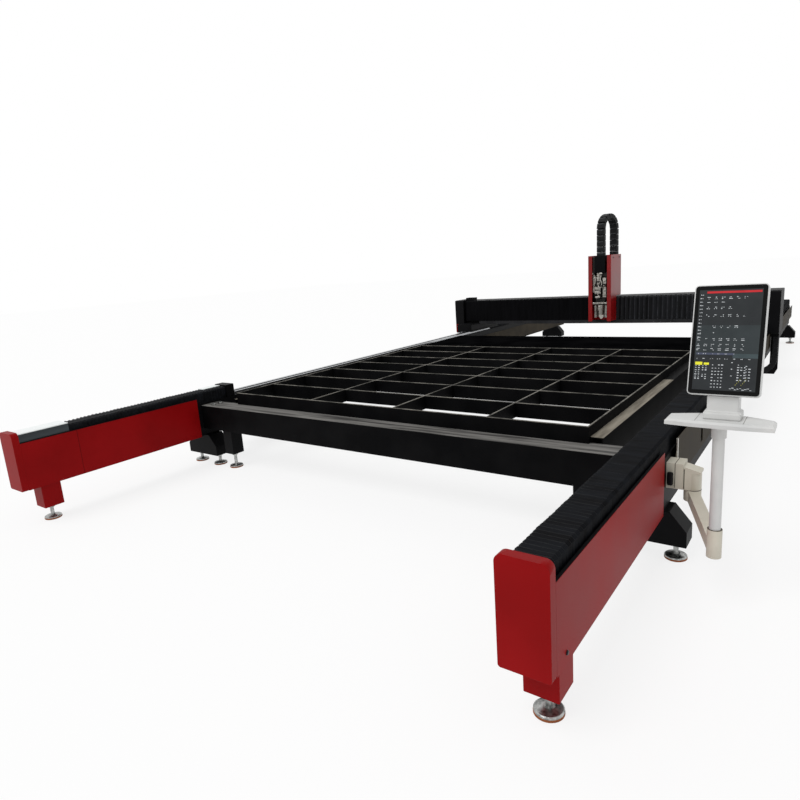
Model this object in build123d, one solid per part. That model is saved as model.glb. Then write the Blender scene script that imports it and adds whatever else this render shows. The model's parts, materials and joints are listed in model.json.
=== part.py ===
"""Fiber laser cutting machine on ground rails, in millimetres, +Z up, rails along Y."""

import math
import os

from build123d import *

# Overall layout: X = 0 between the rails, Y = 0 at the front caps, Z = 0 on the floor
RAIL_GAUGE = 3400.0
RAIL_W = 150.0
RAIL_WALL = 10.0
RAIL_Z0 = 251.0
RAIL_Z1 = 505.0
RAIL_Y0 = 40.0
RAIL_Y1 = 9000.0
PLATE = 4.0
OVERRUN = 20.0
ROUND_SIDES = 12

# Red front ends
COVER_HALF = 85.0
COVER_Z0 = RAIL_Z0 - PLATE
COVER_Z1 = 547.0
COVER_Y1 = 1305.0
COVER_LIP_TOP = 12.0
COVER_LIP_BOTTOM = 29.0
CAP_Z1 = 616.0
CAP_DEPTH = RAIL_Y0
CAP_CORNER_R = 27.0
CAP_FOOT_R = 10.0
LEG_W = 120.0
LEG_WALL = 6.0
LEG_FOOT_PLATE = 10.0
LEG_Y = 175.0
LEG_Z0 = 93.0

# Levelling feet
STEM_R = 12.0
STEM_HOLE_R = 13.0
STEM_RISE = 40.0
STEM_SIDES = 8
NUT_FLATS_R = 21.0
NUT_H = 18.0
NUT_SIDES = 6
PAD_R = 50.0
PAD_TOP_R = 18.0
PAD_EDGE_H = 6.0
PAD_Z1 = 26.0
RUBBER_R = 52.0
RUBBER_H = 12.0

# Support brackets under the rails
BRACKET_HALF = 175.0
BRACKET_TOP_HALF = 100.0
BRACKET_Z0 = 85.0
BRACKET_SHOULDER_Z = 160.0
BRACKET_DEPTH = 130.0
BRACKET_PLATE = 10.0
BRACKET_FOOT_X = 119.0
BRACKET_FRONT_Y = 1420.0
BRACKET_REAR_GAP = 310.0

# Bed
CROSS_Y0 = 1345.0
CROSS_D = 160.0
CROSS_Z0 = 308.0
CROSS_Z1 = 492.0
CROSS_WALL = 10.0
CROSS_LEG_W = 100.0
CROSS_LEG_OUT = 24.0
CROSS_LEG_Z0 = 115.0
BED_X = 21.0
BED_SIDE_GAP = 334.0
BED_Y0 = 1479.0
BED_Z1 = 583.0
BAR_T = 8.0
ROW_PITCH = 365.0
ROWS = 7
COLUMN_SHARES = (0.0, 0.288, 0.548, 0.79, 1.0)
SIDE_W = 65.0
SIDE_Z0 = 330.0
SIDE_Z1 = 523.0
SIDE_WALL = 8.0
REAR_CROSS_Y1 = 4880.0
REAR_PLATE_T = 6.0

# Guides and racks on the rails
GUIDE_W = 34.0
GUIDE_H = 30.0
GUIDE_X = 12.0
RACK_W = 26.0
RACK_H = 26.0
RACK_X = -38.0
GUIDE_END_GAP = 120.0

# Bellows on the rails
BELLOWS_W = 135.0
BELLOWS_Z1 = 596.0
BELLOWS_WALL = 10.0
BELLOWS_PLEAT = 9.0
BELLOWS_PITCH = 100.0
END_BOX_Y1 = 345.0
END_BOX_Z1 = 600.0
LID_T = 5.0
LEFT_BELLOWS_Y1 = 1600.0
FRAME_T = 80.0
FRAME_HALF = 72.0
FRAME_Z1 = 604.0

# Side panels and chain tray
PANEL_OUT = 100.0
PANEL_Z0 = 350.0
PANEL_Z1 = 508.0
PANEL_FRONT_Z1 = 565.0
PANEL_STEP_L = 455.0
PANEL_Y0 = 1485.0
PANEL_SLOT_Y = 2080.0
PANEL_SLOT_W = 50.0
PANEL_SLOT_Z0 = 380.0
PANEL_SLOT_H = 90.0
INNER_PANEL_Z0 = 257.0
INNER_PANEL_Z1 = 440.0
TRAY_OUT = 105.0
TRAY_HALF = 66.0
TRAY_Z0 = 265.0
TRAY_LIP = 50.0
TRAY_Y0 = 1700.0
TRAY_Y1 = 8600.0
CHAIN_W = 100.0
CHAIN_H = 50.0
CHAIN_R = 82.0
CHAIN_PITCH = 120.0
CHAIN_NOTCH = 8.0
CHAIN_NOTCH_W = 10.0
CHAIN_FIXED_Y = 4300.0
CHAIN_BEND_Y = 6500.0

# Gantry
GANTRY_Y = 5729.0
GANTRY_SKIN = 48.0
BEAM_D = 320.0
BEAM_Z0 = 645.0
BEAM_Z1 = 935.0
BEAM_WALL = 10.0
LIP_Z0 = 629.0
LIP_Z1 = 669.0
LIP_SETBACK = 4.0
SADDLE_IN = 160.0
SADDLE_OUT = 54.0
SADDLE_Y0 = 5507.0
SADDLE_Y1 = 6247.0
SADDLE_Z0 = 565.0
SADDLE_BASE_T = 18.0
SADDLE_FLARE = 10.0
BLOCK_W = 70.0
BLOCK_L = 150.0
BLOCK_CLEAR = 1.5
COVER_BOX_W = 130.0
COVER_BOX_Y0 = 5697.0
COVER_BOX_Y1 = 6090.0
COVER_BOX_Z0 = 512.0
COVER_BOX_Z1 = 950.0
COVER_BOX_FILLET = 12.0
STOP_W = 120.0
STOP_H = 42.0
STOP_D = 90.0
MOTOR_W = 110.0
MOTOR_H = 190.0
REDUCER_W = 130.0
REDUCER_H = 90.0
DRIVE_Y = 6167.0
PINION_R = 22.0
PINION_GAP = 1.5
X_GUIDE_W = 30.0
X_GUIDE_H = 24.0
X_BLOCK_GAP = 8.0
X_GUIDE_Z = (725.0, 885.0)
X_PITCH = 50.0
X_PLEAT = 14.0
X_RIM = 10.0
X_BELLOWS_Z0 = LIP_Z1
X_BELLOWS_Z1 = 938.0
X_END_GAP = 10.0
DUCT_OUT = 34.0
DUCT_Y = 5850.0
DUCT_HALF = 28.0
DUCT_W = 70.0
DUCT_BEND = 150.0
DUCT_TOP_Z = 470.0
DUCT_BEND_Z = 245.0
DUCT_RUN = 40.0
HANGER_GAP = 4.0
HANGER_T = 12.0

# Head carriage and cutting head
HEAD_X = 141.0
HOUSING_HALF = 128.0
HOUSING_FLANGE = 44.0
HOUSING_SHEET = 5.0
HOUSING_Y0 = 5509.0
HOUSING_Y1 = 5886.0
HOUSING_Z0 = 675.0
HOUSING_STEP_Z = 952.0
HOUSING_Z1 = 1413.0
CARRIAGE_HALF = 104.0
CARRIAGE_T = 40.0
CARRIAGE_Z0 = 690.0
CARRIAGE_Z1 = 930.0
CARRIAGE_Y0 = 5705.0
X_BLOCK_L = 84.0
X_BLOCK_W = 58.0
Z_RAIL_W = 60.0
Z_RAIL_T = 30.0
Z_RAIL_Z0 = 705.0
Z_RAIL_Z1 = 1385.0
Z_PLATE_HALF = 70.0
Z_PLATE_T = 20.0
Z_PLATE_Z0 = 765.0
Z_PLATE_Z1 = 1255.0
HEAD_Y = 5572.0
HEAD_TOP_HALF = 60.0
HEAD_TOP_D = 110.0
HEAD_TOP_Z0 = 1221.0
HEAD_TOP_Z1 = 1409.0
OPTIC_HALF = 55.0
OPTIC_D = 100.0
OPTIC_Z0 = 872.0
DRAWER_HALF = 70.0
DRAWER_D = 84.0
DRAWER_H = 60.0
DRAWER_Z = (934.0, 1074.0)
PORT_R = 30.0
FLANGE_HALF = 76.0
FLANGE_D = 120.0
FLANGE_T = 14.0
NOZZLE_R = (44.0, 34.0, 22.0, 8.0)
NOZZLE_Z = (858.0, 795.0, 742.0, 720.0, 700.0)
Z_CHAIN_W = 80.0
Z_CHAIN_H = 58.0
Z_CHAIN_R = 138.0
Z_CHAIN_RISE = 455.0
Z_CHAIN_REAR_Z0 = 1290.0
Z_CHAIN_TURN = 13.0

# Operator console
BRACKET_BOX_W = 71.0
BRACKET_BOX_Y0 = 1385.0
BRACKET_BOX_Y1 = 1478.0
BRACKET_BOX_Z0 = 356.0
BRACKET_BOX_Z1 = 476.0
KNOB_R = 16.0
KNOB_L = 34.0
KNOB_IN = 23.0
KNOB_Z = 412.0
SWIVEL_OUT = 33.0
SWIVEL_R = 37.0
SWIVEL_Z0 = 353.0
SWIVEL_Z1 = 433.0
WEDGE_H = 34.0
WEDGE_TIP_SHARE = 0.33
SWIVEL_LAP = 20.0
PIN_TOP_GAP = 40.0
HUB_Z0 = 298.0
PIN_R = 16.0
PIN_HOLE_R = 16.1
ARM_REACH_X = 157.0
ARM_REACH_Y = -432.0
COLUMN_R = 21.0
ARM_W = 46.0
ARM_H = 54.0
CUP_R = 27.0
CUP_Z0 = 250.0
CUP_Z1 = 365.0
CUP_FLOOR = 20.0
CUP_BORE_R = 21.1
COLUMN_Z1 = 780.0
COLLAR_R = 26.0
COLLAR_H = 50.0
KEYS_HALF = 178.0
KEYS_MID = 80.0
KEYS_D0 = 140.0
KEYS_D1 = 90.0
KEYS_T = 22.0
KEYS_TIP = 40.0
KEYS_EDGE = 8.0
NECK_HALF = 52.0
NECK_FOOT_HALF = 62.0
NECK_D = 70.0
NECK_FOOT_H = 26.0
NECK_RISE_SHARE = 0.33
NECK_LEAN = 20.0
SCREEN_W = 238.0
SCREEN_H = 404.0
SCREEN_T = 34.0
SCREEN_TILT = 15.0
SCREEN_BOTTOM_Z = 893.0
SCREEN_Y = 975.0
SCREEN_CORNER = 16.0
SCREEN_DX = 8.0
GLASS_T = 4.0
GLASS_RIM = 5.0

# Values that follow from the ones above
RAIL_X = RAIL_GAUGE / 2
HALF_W = RAIL_W / 2
BRACKET_REAR_Y = RAIL_Y1 - BRACKET_REAR_GAP
Z_CHAIN_TOP = HOUSING_Z1 + Z_CHAIN_RISE
RAIL_INNER = RAIL_X - HALF_W
RAIL_OUTER = RAIL_X + HALF_W
TRAY_X = RAIL_OUTER + TRAY_OUT
BED_HALF = RAIL_X - BED_SIDE_GAP
CROSS_LEG_X = BED_HALF + CROSS_LEG_OUT
BEAM_HALF = RAIL_X + SADDLE_OUT
COVER_BOX_X1 = BEAM_HALF + COVER_BOX_W
X_BELLOWS_END = BEAM_HALF - X_END_GAP
PANEL_X = RAIL_X + PANEL_OUT
PANEL_STEP_Y = PANEL_Y0 + PANEL_STEP_L
HANGER_X = PANEL_X + HANGER_GAP
DUCT_X = COVER_BOX_X1 - DUCT_OUT
DUCT_END_X = DUCT_X - DUCT_BEND - DUCT_RUN
BRACKET_BOX_X1 = RAIL_OUTER + BRACKET_BOX_W
SWIVEL_X = BRACKET_BOX_X1 + SWIVEL_OUT
SWIVEL_Y = (BRACKET_BOX_Y0 + BRACKET_BOX_Y1) / 2
COLUMN_X = SWIVEL_X + ARM_REACH_X
COLUMN_Y = SWIVEL_Y + ARM_REACH_Y
BED_Y1 = BED_Y0 + ROWS * ROW_PITCH + BAR_T
REAR_CROSS_Y0 = REAR_CROSS_Y1 - CROSS_D
BEAM_Y0 = GANTRY_Y + GANTRY_SKIN
LIP_Y0 = GANTRY_Y + LIP_SETBACK
BEAM_Y1 = BEAM_Y0 + BEAM_D
GUIDE_TOP = RAIL_Z1 + GUIDE_H
SADDLE_FLOOR = SADDLE_Z0 - SADDLE_BASE_T
CROSS_LEG_FRONT_Y = CROSS_Y0 + CROSS_D / 2
CROSS_LEG_REAR_Y = REAR_CROSS_Y0 + CROSS_D / 2
SIDES = {"left": -1, "right": 1}
FOOT_TOPS = (
    [(side * RAIL_X, LEG_Y, LEG_Z0) for side in (-1, 1)]
    + [
        (side * RAIL_X + off, y, BRACKET_Z0)
        for side in (-1, 1)
        for off in (-BRACKET_FOOT_X, BRACKET_FOOT_X)
        for y in (BRACKET_FRONT_Y, BRACKET_REAR_Y)
    ]
    + [
        (side * CROSS_LEG_X, y, CROSS_LEG_Z0)
        for side in (-1, 1)
        for y in (CROSS_LEG_FRONT_Y, CROSS_LEG_REAR_Y)
    ]
)


def span(x0, x1, y0, y1, z0, z1):
    """Box between two corners."""
    box = Box(x1 - x0, y1 - y0, z1 - z0)
    return Pos((x0 + x1) / 2, (y0 + y1) / 2, (z0 + z1) / 2) * box


def rod(x, y, z0, z1, radius, top_radius=None):
    """Upright cylinder, or a cone when a top radius is given."""
    height = z1 - z0
    shape = Cylinder(radius, height) if top_radius is None else Cone(radius, top_radius, height)
    return Pos(x, y, (z0 + z1) / 2) * shape


def prism(x, y, z0, z1, radius, sides=ROUND_SIDES):
    """Upright bar with flats, for studs, nuts and feet."""
    return extrude(Pos(x, y, z0) * RegularPolygon(radius, sides), amount=z1 - z0)


def frustum(x, y, z0, z1, radius, top_radius):
    """Upright tapered disc with flats."""
    inset = (radius - top_radius) * math.cos(math.pi / ROUND_SIDES)
    slope = math.degrees(math.atan2(inset, z1 - z0))
    return extrude(Pos(x, y, z0) * RegularPolygon(radius, ROUND_SIDES), amount=z1 - z0, taper=slope)


def prism_y(x, y0, y1, z, radius):
    """Bar with flats lying along Y."""
    return Pos(x, y1, z) * Rot(X=90) * extrude(RegularPolygon(radius, ROUND_SIDES), amount=y1 - y0)


def slab_x(points, x0, x1):
    """Closed outline of (y, z) points, extruded from x0 to x1."""
    face = Plane.YZ.offset(x0) * make_face(Polyline(*points, close=True))
    return extrude(face, amount=x1 - x0, dir=(1, 0, 0))


def slab_y(points, y0, y1):
    """Closed outline of (x, z) points, extruded from y0 to y1."""
    flat = [Vector(x, y0, z) for x, z in points]
    return extrude(make_face(Polyline(*flat, close=True)), amount=y1 - y0, dir=(0, 1, 0))


def slab_z(points, z0, z1):
    """Closed outline of (x, y) points, extruded from z0 to z1."""
    flat = [Vector(x, y, z0) for x, y in points]
    return extrude(make_face(Polyline(*flat, close=True)), amount=z1 - z0, dir=(0, 0, 1))


def tube_y(x0, x1, y0, y1, z0, z1, wall):
    """Rectangular tube along Y."""
    bore = span(x0 + wall, x1 - wall, y0 - OVERRUN, y1 + OVERRUN, z0 + wall, z1 - wall)
    return span(x0, x1, y0, y1, z0, z1) - bore


def tube_x(x0, x1, y0, y1, z0, z1, wall):
    """Rectangular tube along X."""
    bore = span(x0 - OVERRUN, x1 + OVERRUN, y0 + wall, y1 - wall, z0 + wall, z1 - wall)
    return span(x0, x1, y0, y1, z0, z1) - bore


def zigzag(start, end, pitch, high, low):
    """Points of a pleated edge between two stations."""
    count = 2 * max(1, round((end - start) / pitch))
    step = (end - start) / count
    return [(start + i * step, high if i % 2 else low) for i in range(count + 1)]


def rail_bellows(x, y0, y1):
    """Pleated cover over a rail, open below and at both ends."""
    ridge = zigzag(y0, y1, BELLOWS_PITCH, BELLOWS_Z1, BELLOWS_Z1 - BELLOWS_PLEAT)
    outline = [(y0, RAIL_Z1)] + ridge + [(y1, RAIL_Z1)]
    half = BELLOWS_W / 2
    hollow_half = half - BELLOWS_WALL
    hollow_top = BELLOWS_Z1 - BELLOWS_PLEAT - BELLOWS_WALL
    hollow = span(
        x - hollow_half, x + hollow_half, y0 - OVERRUN, y1 + OVERRUN, RAIL_Z1 - OVERRUN, hollow_top
    )
    return slab_x(outline, x - half, x + half) - hollow


def cross_bellows(x0, x1):
    """Pleated cover on the gantry's front, open towards the beam."""
    ridge = zigzag(x0, x1, X_PITCH, GANTRY_Y, GANTRY_Y + X_PLEAT)
    outline = [(x0, BEAM_Y0)] + ridge + [(x1, BEAM_Y0)]
    hollow = span(
        x0 - OVERRUN,
        x1 + OVERRUN,
        GANTRY_Y + X_PLEAT + X_RIM / 2,
        BEAM_Y0 + OVERRUN,
        X_BELLOWS_Z0 + X_RIM,
        X_BELLOWS_Z1 - X_RIM,
    )
    return slab_z(outline, X_BELLOWS_Z0, X_BELLOWS_Z1) - hollow


def chain_edge(stations, offset):
    """One notched edge of a drag chain; stations are (y, z, normal y, normal z, notch)."""
    points = []
    for y, z, ny, nz, notch in stations:
        reach = offset - math.copysign(CHAIN_NOTCH, offset) if notch else offset
        points.append((y + reach * ny, z + reach * nz))
    return points


def chain_outline(legs, half):
    """Outline of a drag chain; legs is a list of (start, end) or (centre, radius, a0, a1)."""
    stations = []
    for leg in legs:
        start, *arc = leg
        if len(arc) == 1:
            (ya, za), (yb, zb) = start, arc[0]
            length = math.hypot(yb - ya, zb - za)
            ty, tz = (yb - ya) / length, (zb - za) / length
            links = max(1, round(length / CHAIN_PITCH))
            for i in range(links):
                for place in (CHAIN_NOTCH_W / 2, length / links - CHAIN_NOTCH_W / 2):
                    along = i * length / links + place
                    stations.append((ya + ty * along, za + tz * along, -tz, ty, False))
                along = (i + 1) * length / links
                stations.append((ya + ty * along, za + tz * along, -tz, ty, True))
        else:
            (yc, zc), radius, a0, a1 = leg
            links = max(1, round(abs(a1 - a0) * radius / CHAIN_PITCH))
            sign = math.copysign(1.0, a1 - a0)
            ease = CHAIN_NOTCH_W / 2 / radius * sign
            for i in range(links):
                first = a0 + (a1 - a0) * i / links
                last = a0 + (a1 - a0) * (i + 1) / links
                for angle, notch in ((first + ease, False), (last - ease, False), (last, True)):
                    c, s = math.cos(angle), math.sin(angle)
                    stations.append((yc + radius * c, zc + radius * s, -sign * c, -sign * s, notch))
    stations[-1] = stations[-1][:-1] + (False,)
    return chain_edge(stations, half) + chain_edge(stations, -half)[::-1]


def union(shapes):
    """Several solids fused into one."""
    shapes = list(shapes)
    return shapes[0].fuse(*shapes[1:]) if len(shapes) > 1 else shapes[0]


def group(shapes):
    """Several separate solids in one node."""
    return Compound(list(shapes))


nodes = {}
front_legs = []

# Rail beams, caps, covers and legs
for name, side in SIDES.items():
    x = side * RAIL_X
    nodes["rail_" + name] = tube_y(
        x - HALF_W, x + HALF_W, RAIL_Y0, RAIL_Y1, RAIL_Z0, RAIL_Z1, RAIL_WALL
    )
    cap = span(x - COVER_HALF, x + COVER_HALF, 0, CAP_DEPTH, COVER_Z0, CAP_Z1)
    tops = cap.edges().filter_by(Axis.Y).sort_by(Axis.Z)[-2:]
    cap = fillet(tops, CAP_CORNER_R)
    cap = fillet(cap.edges().filter_by(Axis.Y).sort_by(Axis.Z)[:2], CAP_FOOT_R)
    inner = COVER_HALF - PLATE
    cap -= span(x - inner, x + inner, PLATE, CAP_DEPTH + OVERRUN, COVER_Z0 + PLATE, CAP_Z1 - CAP_CORNER_R)
    nodes["front_cap_" + name] = cap
    sheets = []
    for face in (-1, 1):
        outline = [
            (x + face * COVER_HALF, COVER_Z0),
            (x + face * COVER_HALF, COVER_Z1),
            (x + face * (COVER_HALF - COVER_LIP_TOP), COVER_Z1),
            (x + face * (COVER_HALF - COVER_LIP_TOP), COVER_Z1 - PLATE),
            (x + face * (COVER_HALF - PLATE), COVER_Z1 - PLATE),
            (x + face * (COVER_HALF - PLATE), RAIL_Z0),
            (x + face * (COVER_HALF - COVER_LIP_BOTTOM), RAIL_Z0),
            (x + face * (COVER_HALF - COVER_LIP_BOTTOM), COVER_Z0),
        ]
        sheets.append(slab_y(outline, CAP_DEPTH, COVER_Y1))
    nodes["front_covers_" + name] = group(sheets)
    half = LEG_W / 2
    leg = span(x - half, x + half, LEG_Y - half, LEG_Y + half, LEG_Z0, COVER_Z0)
    hollow = half - LEG_WALL
    leg -= span(
        x - hollow, x + hollow, LEG_Y - hollow, LEG_Y + hollow, LEG_Z0 + LEG_FOOT_PLATE, COVER_Z0 + OVERRUN
    )
    leg -= prism(x, LEG_Y, LEG_Z0 - OVERRUN, LEG_Z0 + OVERRUN, STEM_HOLE_R, STEM_SIDES)
    front_legs.append(leg)

nodes["front_legs"] = group(front_legs)
nodes["rear_caps"] = group(
    span(s * RAIL_X - HALF_W, s * RAIL_X + HALF_W, RAIL_Y1, RAIL_Y1 + PLATE, RAIL_Z0, RAIL_Z1)
    for s in (-1, 1)
)


def bracket(x, y):
    """Folded support under a rail, open to the rear, with two stem holes in its base."""

    def outline(shrink):
        return [
            (x - BRACKET_HALF + shrink, BRACKET_Z0 + shrink),
            (x + BRACKET_HALF - shrink, BRACKET_Z0 + shrink),
            (x + BRACKET_HALF - shrink, BRACKET_SHOULDER_Z - shrink / 2),
            (x + BRACKET_TOP_HALF - shrink / 2, COVER_Z0 + PLATE - shrink),
            (x - BRACKET_TOP_HALF + shrink / 2, COVER_Z0 + PLATE - shrink),
            (x - BRACKET_HALF + shrink, BRACKET_SHOULDER_Z - shrink / 2),
        ]

    y0, y1 = y - BRACKET_DEPTH / 2, y + BRACKET_DEPTH / 2
    body = slab_y(outline(0), y0, y1)
    body -= slab_y(outline(BRACKET_PLATE), y0 + BRACKET_PLATE, y1 + OVERRUN)
    for off in (-BRACKET_FOOT_X, BRACKET_FOOT_X):
        body -= prism(x + off, y, BRACKET_Z0 - OVERRUN, BRACKET_Z0 + OVERRUN, STEM_HOLE_R, STEM_SIDES)
    return body


nodes["rail_brackets"] = group(
    bracket(side * RAIL_X, y) for side in (-1, 1) for y in (BRACKET_FRONT_Y, BRACKET_REAR_Y)
)

# Levelling feet
stems = []
pads = []
rubbers = []
for x, y, top in FOOT_TOPS:
    nut = prism(x, y, top - NUT_H, top, NUT_FLATS_R, NUT_SIDES)
    stems.append(prism(x, y, PAD_Z1, top + STEM_RISE, STEM_R, STEM_SIDES).fuse(nut))
    disc = prism(x, y, RUBBER_H, RUBBER_H + PAD_EDGE_H, PAD_R)
    pads.append(disc.fuse(frustum(x, y, RUBBER_H + PAD_EDGE_H, PAD_Z1, PAD_R, PAD_TOP_R)))
    rubbers.append(prism(x, y, 0, RUBBER_H, RUBBER_R))
nodes["foot_stems"] = group(stems)
nodes["foot_pads"] = group(pads)
nodes["foot_rubbers"] = group(rubbers)

# Crossbeams, bed frame and bed grid
nodes["crossbeam_front"] = tube_x(
    -RAIL_INNER, RAIL_INNER, CROSS_Y0, CROSS_Y0 + CROSS_D, CROSS_Z0, CROSS_Z1, CROSS_WALL
)
nodes["crossbeam_rear"] = tube_x(
    -RAIL_INNER, RAIL_INNER, REAR_CROSS_Y0, REAR_CROSS_Y1, SIDE_Z0, CROSS_Z1, CROSS_WALL
)
legs = []
for side in (-1, 1):
    for y, top in ((CROSS_LEG_FRONT_Y, CROSS_Z0), (CROSS_LEG_REAR_Y, SIDE_Z0)):
        x, half, hollow = side * CROSS_LEG_X, CROSS_LEG_W / 2, CROSS_LEG_W / 2 - LEG_WALL
        post = span(x - half, x + half, y - half, y + half, CROSS_LEG_Z0, top)
        post -= span(
            x - hollow, x + hollow, y - hollow, y + hollow, CROSS_LEG_Z0 + LEG_FOOT_PLATE, top + OVERRUN
        )
        post -= prism(x, y, CROSS_LEG_Z0 - OVERRUN, CROSS_LEG_Z0 + OVERRUN, STEM_HOLE_R, STEM_SIDES)
        legs.append(post)
nodes["crossbeam_legs"] = group(legs)
sides = []
for side in (-1, 1):
    x0, x1 = sorted((BED_X + side * BED_HALF, BED_X + side * (BED_HALF + SIDE_W)))
    sides.append(tube_y(x0, x1, CROSS_Y0 + CROSS_D, REAR_CROSS_Y0, SIDE_Z0, SIDE_Z1, SIDE_WALL))
nodes["bed_sides"] = group(sides)
bars = []
bar_x = [BED_X - BED_HALF + share * (2 * BED_HALF - BAR_T) for share in COLUMN_SHARES]
for x in bar_x:
    bars.append(span(x, x + BAR_T, BED_Y0, BED_Y1, CROSS_Z1, BED_Z1))
for i in range(ROWS + 1):
    y = BED_Y0 + i * ROW_PITCH
    for x0, x1 in zip(bar_x, bar_x[1:]):
        bars.append(span(x0 + BAR_T, x1, y, y + BAR_T, CROSS_Z1, BED_Z1))
nodes["bed_grid"] = group(bars)
plate_x0, plate_x1 = BED_X - BED_HALF, BED_X + BED_HALF
nodes["bed_rear_plate"] = slab_x(
    [
        (BED_Y1, CROSS_Z1),
        (BED_Y1, BED_Z1),
        (REAR_CROSS_Y1, BED_Z1),
        (REAR_CROSS_Y1, CROSS_Z1),
        (REAR_CROSS_Y1 - REAR_PLATE_T, CROSS_Z1),
        (REAR_CROSS_Y1 - REAR_PLATE_T, BED_Z1 - REAR_PLATE_T),
        (BED_Y1 + REAR_PLATE_T, BED_Z1 - REAR_PLATE_T),
        (BED_Y1 + REAR_PLATE_T, CROSS_Z1),
    ],
    plate_x0,
    plate_x1,
)

# Guides, racks, side panels and the chain tray
guide_y0, guide_y1 = END_BOX_Y1 + GUIDE_END_GAP, RAIL_Y1 - GUIDE_END_GAP
nodes["rail_guides"] = group(
    span(
        s * (RAIL_X + GUIDE_X) - GUIDE_W / 2,
        s * (RAIL_X + GUIDE_X) + GUIDE_W / 2,
        guide_y0,
        guide_y1,
        RAIL_Z1,
        GUIDE_TOP,
    )
    for s in (-1, 1)
)
nodes["rail_racks"] = group(
    span(
        s * (RAIL_X + RACK_X) - RACK_W / 2,
        s * (RAIL_X + RACK_X) + RACK_W / 2,
        guide_y0,
        guide_y1,
        RAIL_Z1,
        RAIL_Z1 + RACK_H,
    )
    for s in (-1, 1)
)
panel = slab_x(
    [
        (PANEL_Y0, PANEL_Z0),
        (PANEL_Y0, PANEL_FRONT_Z1),
        (PANEL_STEP_Y, PANEL_FRONT_Z1),
        (PANEL_STEP_Y, PANEL_Z1),
        (RAIL_Y1, PANEL_Z1),
        (RAIL_Y1, PANEL_Z0),
    ],
    PANEL_X - PLATE,
    PANEL_X,
)
panel = panel.fuse(span(RAIL_OUTER, PANEL_X, PANEL_Y0, RAIL_Y1, PANEL_Z0, PANEL_Z0 + PLATE))
panel -= span(
    PANEL_X - OVERRUN,
    PANEL_X + OVERRUN,
    PANEL_SLOT_Y,
    PANEL_SLOT_Y + PANEL_SLOT_W,
    PANEL_SLOT_Z0,
    PANEL_SLOT_Z0 + PANEL_SLOT_H,
)
nodes["panel_right"] = panel
nodes["panel_left"] = span(
    -RAIL_INNER, -RAIL_INNER + PLATE, REAR_CROSS_Y1, RAIL_Y1, INNER_PANEL_Z0, INNER_PANEL_Z1
)
nodes["chain_tray"] = slab_y(
    [
        (-RAIL_OUTER, TRAY_Z0),
        (-TRAY_X - TRAY_HALF, TRAY_Z0),
        (-TRAY_X - TRAY_HALF, TRAY_Z0 + TRAY_LIP),
        (-TRAY_X - TRAY_HALF + PLATE, TRAY_Z0 + TRAY_LIP),
        (-TRAY_X - TRAY_HALF + PLATE, TRAY_Z0 + PLATE),
        (-RAIL_OUTER, TRAY_Z0 + PLATE),
    ],
    TRAY_Y0,
    TRAY_Y1,
)
chain_low = TRAY_Z0 + PLATE + CHAIN_H / 2
chain_high = chain_low + 2 * CHAIN_R
CHAIN_MOVING_Y = SADDLE_Y1 - BLOCK_L
chain_points = chain_outline(
    [
        ((CHAIN_FIXED_Y, chain_low), (CHAIN_BEND_Y, chain_low)),
        ((CHAIN_BEND_Y, chain_low + CHAIN_R), CHAIN_R, -math.pi / 2, math.pi / 2),
        ((CHAIN_BEND_Y, chain_high), (CHAIN_MOVING_Y, chain_high)),
    ],
    CHAIN_H / 2,
)
nodes["rail_chain"] = slab_x(chain_points, -TRAY_X - CHAIN_W / 2, -TRAY_X + CHAIN_W / 2)

# Bellows, the left end box and the loose end frame
nodes["bellows_front_right"] = rail_bellows(RAIL_X, CAP_DEPTH, SADDLE_Y0)
nodes["bellows_front_left"] = rail_bellows(-RAIL_X, END_BOX_Y1, LEFT_BELLOWS_Y1)
nodes["bellows_rear"] = group(rail_bellows(side * RAIL_X, SADDLE_Y1, RAIL_Y1) for side in (-1, 1))
half = BELLOWS_W / 2
end_box = span(-RAIL_X - half, -RAIL_X + half, CAP_DEPTH, END_BOX_Y1, RAIL_Z1, END_BOX_Z1)
end_box -= span(
    -RAIL_X - half + BELLOWS_WALL,
    -RAIL_X + half - BELLOWS_WALL,
    CAP_DEPTH - OVERRUN,
    END_BOX_Y1 - BELLOWS_WALL,
    RAIL_Z1 - OVERRUN,
    END_BOX_Z1 - BELLOWS_WALL,
)
nodes["end_box"] = end_box
nodes["end_box_lid"] = span(
    -RAIL_X - half, -RAIL_X + half, CAP_DEPTH, END_BOX_Y1, END_BOX_Z1, END_BOX_Z1 + LID_T
)
frame = span(
    -RAIL_X - FRAME_HALF, -RAIL_X + FRAME_HALF, LEFT_BELLOWS_Y1, LEFT_BELLOWS_Y1 + FRAME_T, RAIL_Z1, FRAME_Z1
)
window = half - BELLOWS_WALL
frame -= span(
    -RAIL_X - window,
    -RAIL_X + window,
    LEFT_BELLOWS_Y1 - OVERRUN,
    LEFT_BELLOWS_Y1 + FRAME_T + OVERRUN,
    RAIL_Z1 - OVERRUN,
    BELLOWS_Z1 - BELLOWS_PLEAT - BELLOWS_WALL,
)
nodes["bellows_frame"] = frame

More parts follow.
